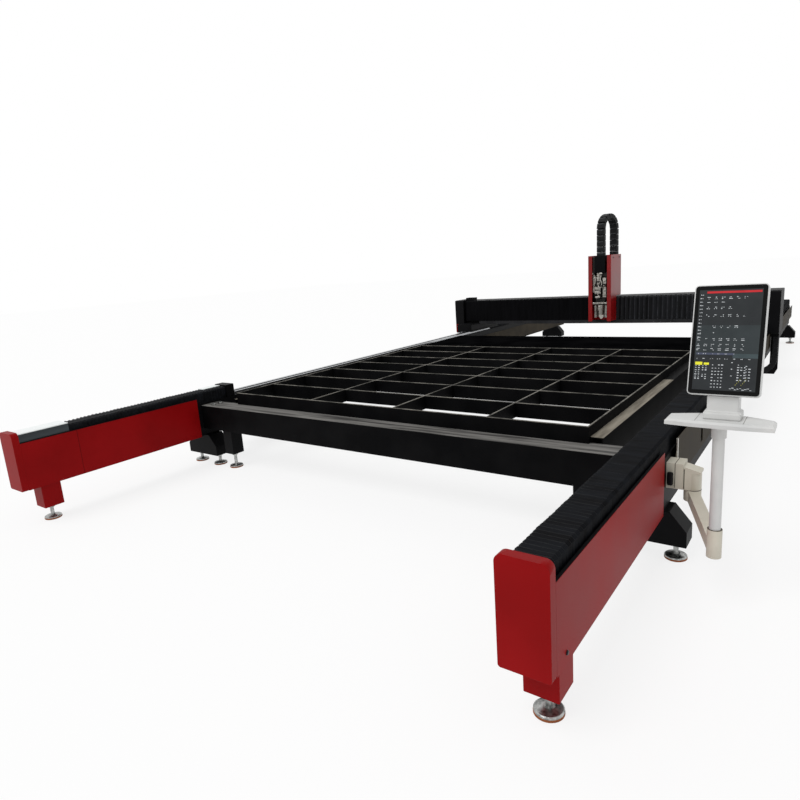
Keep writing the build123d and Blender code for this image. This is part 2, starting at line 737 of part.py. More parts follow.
# Gantry beam with its lip, saddles and end covers
beam = tube_x(-BEAM_HALF, BEAM_HALF, BEAM_Y0, BEAM_Y1, BEAM_Z0, BEAM_Z1, BEAM_WALL)
nodes["gantry_beam"] = beam.fuse(
    span(-BEAM_HALF, -BEAM_HALF + STOP_W, BEAM_Y0, BEAM_Y0 + STOP_D, BEAM_Z1, BEAM_Z1 + STOP_H)
)
lip = slab_x(
    [
        (LIP_Y0, LIP_Z0),
        (LIP_Y0, LIP_Z1),
        (BEAM_Y0, LIP_Z1),
        (BEAM_Y0, BEAM_Z0),
        (BEAM_Y0 + STOP_D, BEAM_Z0),
        (BEAM_Y0 + STOP_D, LIP_Z0),
    ],
    -RAIL_X + SADDLE_IN,
    RAIL_X - SADDLE_IN,
)
nodes["gantry_lip"] = lip
block_y = (SADDLE_Y0 + BLOCK_L, SADDLE_Y1 - BLOCK_L)
for name, side in SIDES.items():
    x = side * RAIL_X
    x0, x1 = sorted((x - side * SADDLE_IN, x + side * SADDLE_OUT))
    saddle = span(x0, x1, SADDLE_Y0, SADDLE_Y1, SADDLE_Z0, BEAM_Z0)
    x0, x1 = sorted((x - side * (SADDLE_IN + SADDLE_FLARE), x + side * SADDLE_OUT))
    saddle = saddle.fuse(span(x0, x1, SADDLE_Y0, SADDLE_Y1, SADDLE_FLOOR, SADDLE_Z0))
    nodes["saddle_" + name] = saddle
    x0, x1 = sorted((side * BEAM_HALF, side * COVER_BOX_X1))
    box = span(x0, x1, COVER_BOX_Y0, COVER_BOX_Y1, COVER_BOX_Z0, COVER_BOX_Z1)
    nodes["end_cover_" + name] = chamfer(box.edges().filter_by(Axis.X), COVER_BOX_FILLET)
blocks = []
drives = []
for side in (-1, 1):
    gx = side * (RAIL_X + GUIDE_X)
    for y in block_y:
        block = span(
            gx - BLOCK_W / 2,
            gx + BLOCK_W / 2,
            y - BLOCK_L / 2,
            y + BLOCK_L / 2,
            GUIDE_TOP - GUIDE_H / 2,
            SADDLE_FLOOR,
        )
        clear = GUIDE_W / 2 + BLOCK_CLEAR
        block -= span(
            gx - clear,
            gx + clear,
            y - BLOCK_L,
            y + BLOCK_L,
            RAIL_Z1,
            GUIDE_TOP + BLOCK_CLEAR,
        )
        blocks.append(block)
    px = side * (RAIL_X + RACK_X - RACK_W / 2 - PINION_GAP - PINION_R)
    reducer = span(
        px - REDUCER_W / 2,
        px + REDUCER_W / 2,
        DRIVE_Y - REDUCER_W / 2,
        DRIVE_Y + REDUCER_W / 2,
        BEAM_Z0,
        BEAM_Z0 + REDUCER_H,
    )
    motor = span(
        px - MOTOR_W / 2,
        px + MOTOR_W / 2,
        DRIVE_Y - MOTOR_W / 2,
        DRIVE_Y + MOTOR_W / 2,
        BEAM_Z0 + REDUCER_H,
        BEAM_Z0 + REDUCER_H + MOTOR_H,
    )
    drives.append(reducer.fuse(motor))
nodes["guide_blocks"] = group(blocks)
nodes["drive_motors"] = group(drives)
nodes["cross_guides"] = group(
    span(-X_BELLOWS_END, X_BELLOWS_END, BEAM_Y0 - X_GUIDE_H, BEAM_Y0, z - X_GUIDE_W / 2, z + X_GUIDE_W / 2)
    for z in X_GUIDE_Z
)
nodes["cross_bellows_left"] = cross_bellows(-X_BELLOWS_END, HEAD_X - CARRIAGE_HALF)
nodes["cross_bellows_right"] = cross_bellows(HEAD_X + CARRIAGE_HALF, X_BELLOWS_END)
bend_x, low_z = DUCT_X - DUCT_BEND, DUCT_BEND_Z - DUCT_BEND
duct = chain_outline(
    [
        ((DUCT_X, DUCT_TOP_Z), (DUCT_X, DUCT_BEND_Z)),
        ((bend_x, DUCT_BEND_Z), DUCT_BEND, 0.0, -math.pi / 2),
        ((bend_x, low_z), (DUCT_END_X, low_z)),
    ],
    DUCT_HALF,
)
nodes["cable_duct"] = slab_y(duct, DUCT_Y - DUCT_W / 2, DUCT_Y + DUCT_W / 2)
duct_y1 = DUCT_Y + DUCT_W / 2
hanger = slab_y(
    [
        (DUCT_END_X, low_z - DUCT_HALF),
        (DUCT_X, low_z - DUCT_HALF),
        (DUCT_X + DUCT_HALF, low_z + DUCT_HALF),
        (DUCT_X + DUCT_HALF, COVER_BOX_Z0),
        (HANGER_X, COVER_BOX_Z0),
        (HANGER_X, low_z + DUCT_HALF),
        (DUCT_END_X, low_z + DUCT_HALF),
    ],
    duct_y1,
    duct_y1 + HANGER_T,
)
clamp = span(HANGER_X, DUCT_X + DUCT_HALF, DUCT_Y - DUCT_W / 2, duct_y1, DUCT_TOP_Z, COVER_BOX_Z0)
nodes["duct_brackets"] = hanger.fuse(clamp)
arm_y1 = CHAIN_MOVING_Y + BLOCK_L
arm_x0, arm_x1 = -TRAY_X - CHAIN_W / 2, -TRAY_X + CHAIN_W / 2
nodes["saddle_left"] = nodes["saddle_left"].fuse(
    span(arm_x0, arm_x1, CHAIN_MOVING_Y, arm_y1, chain_high + CHAIN_H / 2, SADDLE_FLOOR),
    span(arm_x0, -RAIL_X - SADDLE_OUT, CHAIN_MOVING_Y, arm_y1, SADDLE_FLOOR, SADDLE_Z0),
)

# Head carriage
plate_y1 = CARRIAGE_Y0 + CARRIAGE_T
carriage = [
    span(HEAD_X - CARRIAGE_HALF, HEAD_X + CARRIAGE_HALF, CARRIAGE_Y0, plate_y1, CARRIAGE_Z0, CARRIAGE_Z1)
]
for z in X_GUIDE_Z:
    for off in (-1, 1):
        bx = HEAD_X + off * (CARRIAGE_HALF - X_BLOCK_L / 2)
        block = span(
            bx - X_BLOCK_L / 2,
            bx + X_BLOCK_L / 2,
            plate_y1,
            BEAM_Y0 - X_BLOCK_GAP,
            z - X_BLOCK_W / 2,
            z + X_BLOCK_W / 2,
        )
        clear = X_GUIDE_W / 2 + BLOCK_CLEAR
        block -= span(
            bx - X_BLOCK_L,
            bx + X_BLOCK_L,
            BEAM_Y0 - X_GUIDE_H - BLOCK_CLEAR,
            BEAM_Y0,
            z - clear,
            z + clear,
        )
        carriage.append(block)
nodes["carriage_plate"] = union(carriage)
side_outline = [
    (HOUSING_Y0, HOUSING_Z0),
    (CARRIAGE_Y0, HOUSING_Z0),
    (CARRIAGE_Y0, HOUSING_STEP_Z),
    (HOUSING_Y1, HOUSING_STEP_Z),
    (HOUSING_Y1, HOUSING_Z1),
    (HOUSING_Y0, HOUSING_Z1),
]
housing = []
for off in (-1, 1):
    x0, x1 = sorted((HEAD_X + off * HOUSING_HALF, HEAD_X + off * (HOUSING_HALF - HOUSING_SHEET)))
    housing.append(slab_x(side_outline, x0, x1))
    x0, x1 = sorted((HEAD_X + off * HOUSING_HALF, HEAD_X + off * (HOUSING_HALF - HOUSING_FLANGE)))
    housing.append(span(x0, x1, HOUSING_Y0, HOUSING_Y0 + HOUSING_SHEET, HOUSING_Z0, HOUSING_Z1))
left, right = HEAD_X - HOUSING_HALF, HEAD_X + HOUSING_HALF
housing.append(span(left, right, CARRIAGE_Y0 - HOUSING_SHEET, CARRIAGE_Y0, HOUSING_Z0, HOUSING_Z1))
housing.append(
    span(left, right, CARRIAGE_Y0, HOUSING_Y1, HOUSING_STEP_Z, HOUSING_STEP_Z + HOUSING_SHEET)
)
housing.append(
    span(left, right, HOUSING_Y1 - HOUSING_SHEET, HOUSING_Y1, HOUSING_STEP_Z, HOUSING_Z1)
)
nodes["head_housing"] = union(housing)
web_y = CARRIAGE_Y0 - HOUSING_SHEET
nodes["lift_rail"] = span(
    HEAD_X - Z_RAIL_W / 2, HEAD_X + Z_RAIL_W / 2, web_y - Z_RAIL_T, web_y, Z_RAIL_Z0, Z_RAIL_Z1
)
chain_y0 = HEAD_Y
chain_y1 = HEAD_Y + 2 * Z_CHAIN_R
arc_z = Z_CHAIN_TOP - Z_CHAIN_H / 2 - Z_CHAIN_R
arch = chain_outline(
    [
        ((chain_y0, HEAD_TOP_Z1), (chain_y0, arc_z)),
        ((chain_y0 + Z_CHAIN_R, arc_z), Z_CHAIN_R, math.pi, 0.0),
        ((chain_y1, arc_z), (chain_y1, Z_CHAIN_REAR_Z0)),
    ],
    Z_CHAIN_H / 2,
)
arch_at = Pos(HEAD_X, HEAD_Y, 0) * Rot(Z=-Z_CHAIN_TURN) * Pos(-HEAD_X, -HEAD_Y, 0)
nodes["head_chain"] = arch_at * slab_x(arch, HEAD_X - Z_CHAIN_W / 2, HEAD_X + Z_CHAIN_W / 2)
rear_x = HEAD_X + 2 * Z_CHAIN_R * math.sin(math.radians(Z_CHAIN_TURN))
rear_y = HEAD_Y + 2 * Z_CHAIN_R * math.cos(math.radians(Z_CHAIN_TURN))
nodes["head_housing"] = nodes["head_housing"].fuse(
    span(
        rear_x - Z_CHAIN_W / 2,
        rear_x + Z_CHAIN_W / 2,
        rear_y - Z_CHAIN_H / 2,
        HOUSING_Y1 - HOUSING_SHEET,
        Z_CHAIN_REAR_Z0 - Z_CHAIN_H,
        Z_CHAIN_REAR_Z0,
    )
)

# Cutting head
slide_y1 = web_y - Z_RAIL_T
slide_y0 = slide_y1 - Z_PLATE_T
nodes["lift_plate"] = span(
    HEAD_X - Z_PLATE_HALF, HEAD_X + Z_PLATE_HALF, slide_y0, slide_y1, Z_PLATE_Z0, Z_PLATE_Z1
)
top_y0 = HEAD_Y - HEAD_TOP_D / 2
nodes["head_top"] = span(
    HEAD_X - HEAD_TOP_HALF, HEAD_X + HEAD_TOP_HALF, top_y0, slide_y0, HEAD_TOP_Z0, HEAD_TOP_Z1
)
optics = [
    span(HEAD_X - OPTIC_HALF, HEAD_X + OPTIC_HALF, HEAD_Y - OPTIC_D / 2, slide_y0, OPTIC_Z0, HEAD_TOP_Z0)
]
for z in DRAWER_Z:
    optics.append(
        span(
            HEAD_X - DRAWER_HALF,
            HEAD_X + DRAWER_HALF,
            HEAD_Y - DRAWER_D / 2,
            HEAD_Y + DRAWER_D / 2,
            z,
            z + DRAWER_H,
        )
    )
port_z = (DRAWER_Z[-1] + DRAWER_H + HEAD_TOP_Z0) / 2
optics.append(prism_y(HEAD_X, HEAD_Y - OPTIC_D / 2 - LID_T, HEAD_Y, port_z, PORT_R))
optics.append(
    span(
        HEAD_X - FLANGE_HALF,
        HEAD_X + FLANGE_HALF,
        HEAD_Y - FLANGE_D / 2,
        HEAD_Y + FLANGE_D / 2,
        OPTIC_Z0 - FLANGE_T,
        OPTIC_Z0,
    )
)
nodes["head_optics"] = union(optics)
tip = [
    prism(HEAD_X, HEAD_Y, NOZZLE_Z[1], NOZZLE_Z[0], NOZZLE_R[0]),
    prism(HEAD_X, HEAD_Y, NOZZLE_Z[2], NOZZLE_Z[1], NOZZLE_R[1]),
    rod(HEAD_X, HEAD_Y, NOZZLE_Z[3], NOZZLE_Z[2], NOZZLE_R[2], NOZZLE_R[1]),
    rod(HEAD_X, HEAD_Y, NOZZLE_Z[4], NOZZLE_Z[3], NOZZLE_R[3], NOZZLE_R[2]),
]
nodes["head_nozzle"] = union(tip)

# Operator console
swivel = span(
    RAIL_OUTER, BRACKET_BOX_X1, BRACKET_BOX_Y0, BRACKET_BOX_Y1, BRACKET_BOX_Z0, BRACKET_BOX_Z1
)
swivel = swivel.fuse(
    rod(SWIVEL_X, SWIVEL_Y, SWIVEL_Z0, SWIVEL_Z1, SWIVEL_R),
    span(
        BRACKET_BOX_X1 - SWIVEL_LAP,
        SWIVEL_X,
        SWIVEL_Y - SWIVEL_R,
        SWIVEL_Y + SWIVEL_R,
        SWIVEL_Z0,
        SWIVEL_Z1,
    ),
    slab_y(
        [
            (BRACKET_BOX_X1 - SWIVEL_LAP, SWIVEL_Z1),
            (SWIVEL_X + SWIVEL_R, SWIVEL_Z1),
            (SWIVEL_X + SWIVEL_R, SWIVEL_Z1 + WEDGE_H * WEDGE_TIP_SHARE),
            (BRACKET_BOX_X1 - SWIVEL_LAP, SWIVEL_Z1 + WEDGE_H),
        ],
        SWIVEL_Y - SWIVEL_R,
        SWIVEL_Y + SWIVEL_R,
    ),
)
swivel -= rod(SWIVEL_X, SWIVEL_Y, SWIVEL_Z0 - OVERRUN, SWIVEL_Z1 - PIN_TOP_GAP / 2, PIN_HOLE_R)
nodes["console_bracket"] = swivel
knob_x = RAIL_OUTER + KNOB_IN
nodes["console_knob"] = prism_y(knob_x, BRACKET_BOX_Y0 - KNOB_L, BRACKET_BOX_Y0, KNOB_Z, KNOB_R)
reach = math.hypot(COLUMN_X - SWIVEL_X, COLUMN_Y - SWIVEL_Y)
turn = math.degrees(math.atan2(COLUMN_Y - SWIVEL_Y, COLUMN_X - SWIVEL_X))
arm_z0 = HUB_Z0
arm_end_z = CUP_Z0 + CUP_FLOOR
bar = slab_y(
    [
        (0, arm_z0),
        (reach, arm_end_z),
        (reach, arm_end_z + ARM_H),
        (0, arm_z0 + ARM_H),
    ],
    -ARM_W / 2,
    ARM_W / 2,
)
arm = rod(SWIVEL_X, SWIVEL_Y, HUB_Z0, SWIVEL_Z0, SWIVEL_R).fuse(
    rod(SWIVEL_X, SWIVEL_Y, SWIVEL_Z0, SWIVEL_Z1 - PIN_TOP_GAP, PIN_R),
    Pos(SWIVEL_X, SWIVEL_Y, 0) * Rot(Z=turn) * bar,
    rod(COLUMN_X, COLUMN_Y, CUP_Z0, CUP_Z1, CUP_R),
)
arm -= rod(COLUMN_X, COLUMN_Y, CUP_Z0 + CUP_FLOOR, CUP_Z1 + OVERRUN, CUP_BORE_R)
nodes["console_arm"] = arm
nodes["console_column"] = rod(COLUMN_X, COLUMN_Y, CUP_Z0 + CUP_FLOOR, COLUMN_Z1, COLUMN_R).fuse(
    rod(COLUMN_X, COLUMN_Y, COLUMN_Z1 - COLLAR_H, COLUMN_Z1, COLLAR_R)
)
keys_y1 = COLUMN_Y + KEYS_D0 / 2
keys = slab_z(
    [
        (COLUMN_X - KEYS_HALF, keys_y1 - KEYS_D1 - KEYS_TIP),
        (COLUMN_X - KEYS_MID, keys_y1 - KEYS_D0),
        (COLUMN_X + KEYS_MID, keys_y1 - KEYS_D0),
        (COLUMN_X + KEYS_HALF, keys_y1 - KEYS_D1 - KEYS_TIP),
        (COLUMN_X + KEYS_HALF, keys_y1 - KEYS_TIP),
        (COLUMN_X + KEYS_MID, keys_y1),
        (COLUMN_X - KEYS_MID, keys_y1),
        (COLUMN_X - KEYS_HALF, keys_y1 - KEYS_TIP),
    ],
    COLUMN_Z1,
    COLUMN_Z1 + KEYS_T,
)
nodes["console_tray"] = chamfer(keys.faces().sort_by(Axis.Z)[-1].edges(), KEYS_EDGE)
neck_z0 = COLUMN_Z1 + KEYS_T
screen_x = COLUMN_X + SCREEN_DX
screen_at = Pos(screen_x, SCREEN_Y, SCREEN_BOTTOM_Z) * Rot(X=-SCREEN_TILT)
half_w = SCREEN_W / 2
shell = screen_at * fillet(
    span(-half_w, half_w, 0, SCREEN_T, 0, SCREEN_H).edges().filter_by(Axis.Y), SCREEN_CORNER
)
neck = slab_x(
    [
        (SCREEN_Y + SCREEN_T / 2, neck_z0),
        (SCREEN_Y + SCREEN_T / 2 + NECK_D, neck_z0),
        (SCREEN_Y + SCREEN_T / 2 + NECK_D, SCREEN_BOTTOM_Z + SCREEN_H * NECK_RISE_SHARE),
        (SCREEN_Y + SCREEN_T + NECK_LEAN, SCREEN_BOTTOM_Z + SCREEN_H * NECK_RISE_SHARE),
        (SCREEN_Y + SCREEN_T / 2, SCREEN_BOTTOM_Z),
    ],
    screen_x - NECK_HALF,
    screen_x + NECK_HALF,
).fuse(
    span(
        screen_x - NECK_FOOT_HALF,
        screen_x + NECK_FOOT_HALF,
        SCREEN_Y,
        SCREEN_Y + SCREEN_T / 2 + NECK_D,
        neck_z0,
        neck_z0 + NECK_FOOT_H,
    )
)
nodes["console_neck"] = neck - shell
pane = screen_at * span(
    -half_w + GLASS_RIM, half_w - GLASS_RIM, 0, GLASS_T, GLASS_RIM, SCREEN_H - GLASS_RIM
)
nodes["screen_shell"] = shell - pane
nodes["screen_glass"] = pane

# Move everything so that the origin is the middle of the footprint on the floor
everything = Compound(children=[shape.moved(Location()) for shape in nodes.values()])
extent = everything.bounding_box()
SHIFT = (-extent.center().X, -extent.center().Y, -extent.min.Z)

if __name__ == "__main__":
    os.makedirs("parts", exist_ok=True)
    for name, shape in nodes.items():
        export_step(Pos(*SHIFT) * shape, os.path.join("parts", name + ".step"))
    print(len(nodes), "nodes, size", extent.size, "shift", SHIFT)
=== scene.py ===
# %% [markdown]
# The object is a laser cutting machine that stands on the floor on two long rails. A gantry runs
# along the rails, a red head runs along the gantry, and an operator screen stands at the front.
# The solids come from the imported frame. This lesson gives them their finishes, adds the pieces
# that repeat, and sets up the light and the camera.

# %% Load the frame
import json
import math
import random

import bmesh
import bpy
from mathutils import Matrix, Vector
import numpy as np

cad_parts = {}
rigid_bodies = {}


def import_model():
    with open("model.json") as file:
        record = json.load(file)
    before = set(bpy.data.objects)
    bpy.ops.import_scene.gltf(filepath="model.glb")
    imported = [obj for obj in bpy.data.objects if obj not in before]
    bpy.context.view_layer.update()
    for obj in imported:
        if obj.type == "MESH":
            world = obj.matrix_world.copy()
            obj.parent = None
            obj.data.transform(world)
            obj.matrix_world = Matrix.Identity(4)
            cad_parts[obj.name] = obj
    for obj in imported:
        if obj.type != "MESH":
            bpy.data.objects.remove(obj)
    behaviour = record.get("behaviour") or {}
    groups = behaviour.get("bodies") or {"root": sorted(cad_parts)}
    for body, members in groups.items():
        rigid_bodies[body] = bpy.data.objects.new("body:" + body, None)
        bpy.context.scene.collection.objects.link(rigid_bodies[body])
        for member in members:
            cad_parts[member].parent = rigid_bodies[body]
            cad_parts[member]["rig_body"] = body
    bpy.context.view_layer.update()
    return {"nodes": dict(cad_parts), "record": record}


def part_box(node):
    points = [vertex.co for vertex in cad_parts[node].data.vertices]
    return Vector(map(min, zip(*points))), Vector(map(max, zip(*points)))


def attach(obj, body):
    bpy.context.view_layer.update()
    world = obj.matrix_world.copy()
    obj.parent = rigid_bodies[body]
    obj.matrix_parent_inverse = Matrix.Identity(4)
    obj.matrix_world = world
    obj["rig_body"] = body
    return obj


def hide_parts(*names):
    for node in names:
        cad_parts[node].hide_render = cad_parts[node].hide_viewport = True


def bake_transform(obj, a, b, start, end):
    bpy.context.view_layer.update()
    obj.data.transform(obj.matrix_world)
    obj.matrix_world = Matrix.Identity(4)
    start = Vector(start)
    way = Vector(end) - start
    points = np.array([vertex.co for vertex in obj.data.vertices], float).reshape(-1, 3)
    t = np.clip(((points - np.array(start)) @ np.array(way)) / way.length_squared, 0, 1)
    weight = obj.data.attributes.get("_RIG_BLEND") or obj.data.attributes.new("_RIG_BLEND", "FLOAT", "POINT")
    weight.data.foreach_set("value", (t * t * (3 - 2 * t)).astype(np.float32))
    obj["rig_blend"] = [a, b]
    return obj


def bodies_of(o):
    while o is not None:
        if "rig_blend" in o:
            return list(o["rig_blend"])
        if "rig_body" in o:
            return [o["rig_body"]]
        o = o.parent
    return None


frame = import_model()
nodes = frame["nodes"]
body_of = {name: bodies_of(piece)[0] for name, piece in nodes.items()}
slot_of = {row["node"]: row["material_slot"] for row in frame["record"]["subparts"]}
MM = 0.001

# %% [markdown]
# Every finish is a small shader tree. One function turns a colour that is written as in a paint
# program into the linear colour that the shader needs, and one adds a node to a tree.

# %% Colour and node helpers
def linear(hex_code, alpha=1.0):
    """Linear colour of an sRGB hex value."""
    channels = [int(hex_code[i:i + 2], 16) / 255 for i in (1, 3, 5)]
    curve = [c / 12.92 if c <= 0.04045 else ((c + 0.055) / 1.055) ** 2.4 for c in channels]
    return (*curve, alpha)


def add(tree, kind, settings=None, links=()):
    """Adds a node; settings name its sockets or its own options, links are (output, socket)."""
    made = tree.nodes.new(kind)
    for name, value in (settings or {}).items():
        if hasattr(made, str(name)):
            setattr(made, name, value)
        else:
            made.inputs[name].default_value = value
    for source, target in links:
        tree.links.new(source, made.inputs[target])
    return made

# %% [markdown]
# No real surface has one flat colour. Paint lies thicker here and thinner there, dust dulls it in
# places, and a machined face keeps the marks of its tool. So each finish drifts between two close
# colours in spots of a given size, and its roughness drifts with it. The stretch makes the spots
# long in one direction, for brushed metal and creased cloth.

# %% A finish and its grain
GLOSS_DRIFT = 0.08


def noise_at(tree, size_mm, stretch, detail):
    """Noise in object space with spots of size_mm."""
    place = add(tree, "ShaderNodeTexCoord")
    scaled = add(tree, "ShaderNodeMapping", {"Scale": stretch}, [(place.outputs["Object"], "Vector")])
    return add(tree, "ShaderNodeTexNoise", {"Scale": 1000 / size_mm, "Detail": detail},
               [(scaled.outputs[0], "Vector")]).outputs[0]


def finish(name, dark, light, spot_mm, roughness, metallic=0.0, specular=0.5, stretch=(1, 1, 1)):
    """A material that drifts between two hex colours; returns it with its tree and shader."""
    material = bpy.data.materials.new(name)
    material.use_nodes = True
    tree = material.node_tree
    shader = tree.nodes["Principled BSDF"]
    shader.inputs["Metallic"].default_value = metallic
    shader.inputs["Specular IOR Level"].default_value = specular
    spots = noise_at(tree, spot_mm, stretch, 4.0)
    drift = add(tree, "ShaderNodeValToRGB", links=[(spots, "Fac")])
    for stop, position, colour in zip(drift.color_ramp.elements, (0.35, 0.65), (dark, light)):
        stop.position = position
        stop.color = linear(colour)
    gloss = add(tree, "ShaderNodeMapRange",
                {"To Min": roughness - GLOSS_DRIFT, "To Max": roughness + GLOSS_DRIFT}, [(spots, "Value")])
    tree.links.new(drift.outputs[0], shader.inputs["Base Color"])
    tree.links.new(gloss.outputs[0], shader.inputs["Roughness"])
    return material, tree, shader


def relief(tree, shader, size_mm, depth_mm, stretch=(1, 1, 1)):
    """Fine bumps on a surface, from noise whose spots are size_mm wide."""
    grain = noise_at(tree, size_mm, stretch, 2.0)
    bump = add(tree, "ShaderNodeBump", {"Strength": 0.5, "Distance": depth_mm * MM}, [(grain, "Height")])
    tree.links.new(bump.outputs["Normal"], shader.inputs["Normal"])

# %% [markdown]
# The frame is welded steel with a powder coat, a paint that is sprayed as dust and baked. It
# leaves a faint orange peel, about 6 mm from crest to crest, and a satin gloss. Red covers the
# ends and, with more gloss, the head, black the rest, and the operator's console is white and
# pale beige.

# %% Powder coats
PEEL_MM, PEEL_DEPTH_MM = 6.0, 0.15
COATS = {
    "red_powder_coat": ("#810709", "#8c0a0d", 320, 0.40, 0.06),
    "glossy_red_coat": ("#810709", "#8c0a0d", 320, 0.34, 0.35),
    "black_powder_coat": ("#040405", "#0b0b0d", 220, 0.50, 0.07),
    "dusty_black_coat": ("#050506", "#0c0c0d", 220, 0.88, 0.0),
    "lip_black_coat": ("#1c1c1e", "#2a2a2c", 160, 0.50, 0.15),
    "grey_brown_paint": ("#29241c", "#3a342a", 260, 0.60, 0.05),
    "white_powder_coat": ("#c5c6c5", "#d0d0ce", 140, 0.42, 0.4),
    "pale_beige_powder_coat": ("#bfbaab", "#cdc8ba", 120, 0.45, 0.3),
}
coat = {}
for name, (dark, light, spot, roughness, specular) in COATS.items():
    coat[name], tree, shader = finish(name, dark, light, spot, roughness, specular=specular)
    relief(tree, shader, PEEL_MM, PEEL_DEPTH_MM)
print("powder coats:", len(coat))

# %% [markdown]
# The bed is black too, but sheets slide over it and dust settles on it. The top edges of the
# bars and ledges are worn to a dull grey-beige. The height of a point above the floor says where
# the wear is, and noise breaks it up, long in the direction in which things slide.

# %% Worn black paint
STREAK_MM = 30.0
LEDGE_SHARE = 0.62


def worn_paint(name, top_z, band_mm, wear_dark, wear_light, streak, until_y=None):
    """Black paint with a worn band just below top_z, in front of until_y."""
    material, tree, shader = finish(name, "#040405", "#0c0c0d", 180, 0.60, specular=0.04)
    paint = shader.inputs["Base Color"].links[0].from_socket
    place = add(tree, "ShaderNodeTexCoord")
    axes = add(tree, "ShaderNodeSeparateXYZ", links=[(place.outputs["Object"], "Vector")])
    mask = add(tree, "ShaderNodeMath", {"operation": "GREATER_THAN", 1: top_z - band_mm * MM},
               [(axes.outputs["Z"], 0)]).outputs[0]
    if until_y is not None:
        near = add(tree, "ShaderNodeMath", {"operation": "LESS_THAN", 1: until_y}, [(axes.outputs["Y"], 0)])
        mask = add(tree, "ShaderNodeMath", {"operation": "MULTIPLY"},
                   [(mask, 0), (near.outputs[0], 1)]).outputs[0]
    wear = add(tree, "ShaderNodeValToRGB", links=[(noise_at(tree, STREAK_MM, streak, 5.0), "Fac")])
    for stop, position, colour in zip(wear.color_ramp.elements, (0.35, 0.6), (wear_dark, wear_light)):
        stop.position = position
        stop.color = linear(colour)
    mix = add(tree, "ShaderNodeMix", {"data_type": "RGBA"}, [(mask, 0), (paint, 6), (wear.outputs[0], 7)])
    tree.links.new(mix.outputs[2], shader.inputs["Base Color"])
    return material


bed_low, bed_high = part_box("bed_grid")
ledge_end = bed_low.y + LEDGE_SHARE * (bed_high.y - bed_low.y)
beam_top, ledge_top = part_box("crossbeam_front")[1].z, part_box("bed_sides")[1].z
bar_paint = worn_paint("worn_bed_bar_paint", bed_high.z, 3.0, "#454440", "#807d76", (0.3, 0.3, 1))
beam_paint = worn_paint("worn_crossbeam_paint", beam_top, 1.0, "#3c3b3a", "#7c7a77", (0.06, 1, 1))
ledge_paint = worn_paint("worn_ledge_paint", ledge_top, 1.0, "#6d675d", "#948d80", (1, 0.1, 1), ledge_end)
print("wear stops at y =", round(ledge_end, 3))

# %% [markdown]
# The bellows are coated cloth. Their creases run across the travel, so the rail covers and the gantry covers
# have the same cloth with the creases turned. The taut gantry cover gets a darker copy of the cloth, which
# is painted shade, and the folded one gets a lighter copy, which is painted sheen. The creases are drawn
# about 9 mm wide, coarser than the weave, because the weave itself is too fine to show.

# %% Coated cloth
CREASE_MM = 9.0
CLOTH_SPOT_MM = 50
STRETCHES = 0.15, 0.12
CLOTHS = {
    "rail_bellows_cloth": ("X", "#030305", "#111317", 0.60, 0.08, 2.5),
    # Painted shade: the taut gantry cloth is a darker copy of the same cloth.
    "taut_gantry_cloth": ("Z", "#030304", "#08080a", 0.66, 0.04, 0.6),
    # Painted sheen: the folded gantry cloth is a lighter copy of the same cloth.
    "folded_gantry_cloth": ("Z", "#08090a", "#191a1d", 0.55, 0.15, 1.0),
}
cloths = []
for name, (along, dark, light, roughness, specular, depth) in CLOTHS.items():
    spots, creases = ([stretch if axis == along else 1 for axis in "XYZ"] for stretch in STRETCHES)
    material, tree, shader = finish(name, dark, light, CLOTH_SPOT_MM, roughness, specular=specular,
                                    stretch=spots)
    relief(tree, shader, CREASE_MM, depth, creases)
    cloths.append(material)
cloth, taut_shaded_cloth, folded_sheen_cloth = cloths
print("cloths:", len(cloths))

# %% [markdown]
# The metals are ground rails, zinc plated feet and bolts, machined and black anodised aluminium
# on the head, and a polished steel lid. A metal keeps the default index of refraction. Turning
# and grinding leave fine lines, so their spots are stretched. The cable chains are moulded nylon,
# the feet stand on orange-brown rubber, and the screen is dark glass.

# %% Metals, plastics and glass
ALONG_Y = (1, 0.1, 1)
steel = finish("ground_steel", "#a2a4a6", "#babcbe", 30, 0.3, metallic=1.0, stretch=ALONG_Y)[0]
zinc = finish("zinc_plated_steel", "#7c7e7d", "#b9bab8", 14, 0.3, metallic=1.0)[0]
aluminium = finish("machined_aluminium", "#8f8b83", "#c4c1ba", 16, 0.32, metallic=1.0)[0]
anodised = finish("black_anodised_aluminium", "#141312", "#26231f", 20, 0.4, metallic=0.6)[0]
dark_steel = finish("dark_polished_steel", "#23282b", "#3d4447", 90, 0.28, metallic=0.7, stretch=ALONG_Y)[0]
polished = finish("polished_lid_steel", "#dfe6e6", "#f0f4f3", 80, 0.3, specular=0.6, stretch=ALONG_Y)[0]
rubber = finish("brown_rubber", "#7d4320", "#9a5a30", 12, 0.7, specular=0.3)[0]
nylon, tree, shader = finish("moulded_nylon", "#0b0c0d", "#161719", 25, 0.5, specular=0.15)
relief(tree, shader, 3.0, 0.2)
link_grey = finish("worn_nylon_edge", "#2b2d2f", "#474a4d", 20, 0.5, specular=0.3)[0]
glass = finish("screen_glass", "#030404", "#060707", 90, 0.16, specular=0.12)[0]
knob_black = finish("moulded_black_knob", "#08070a", "#121014", 12, 0.4, specular=0.12)[0]

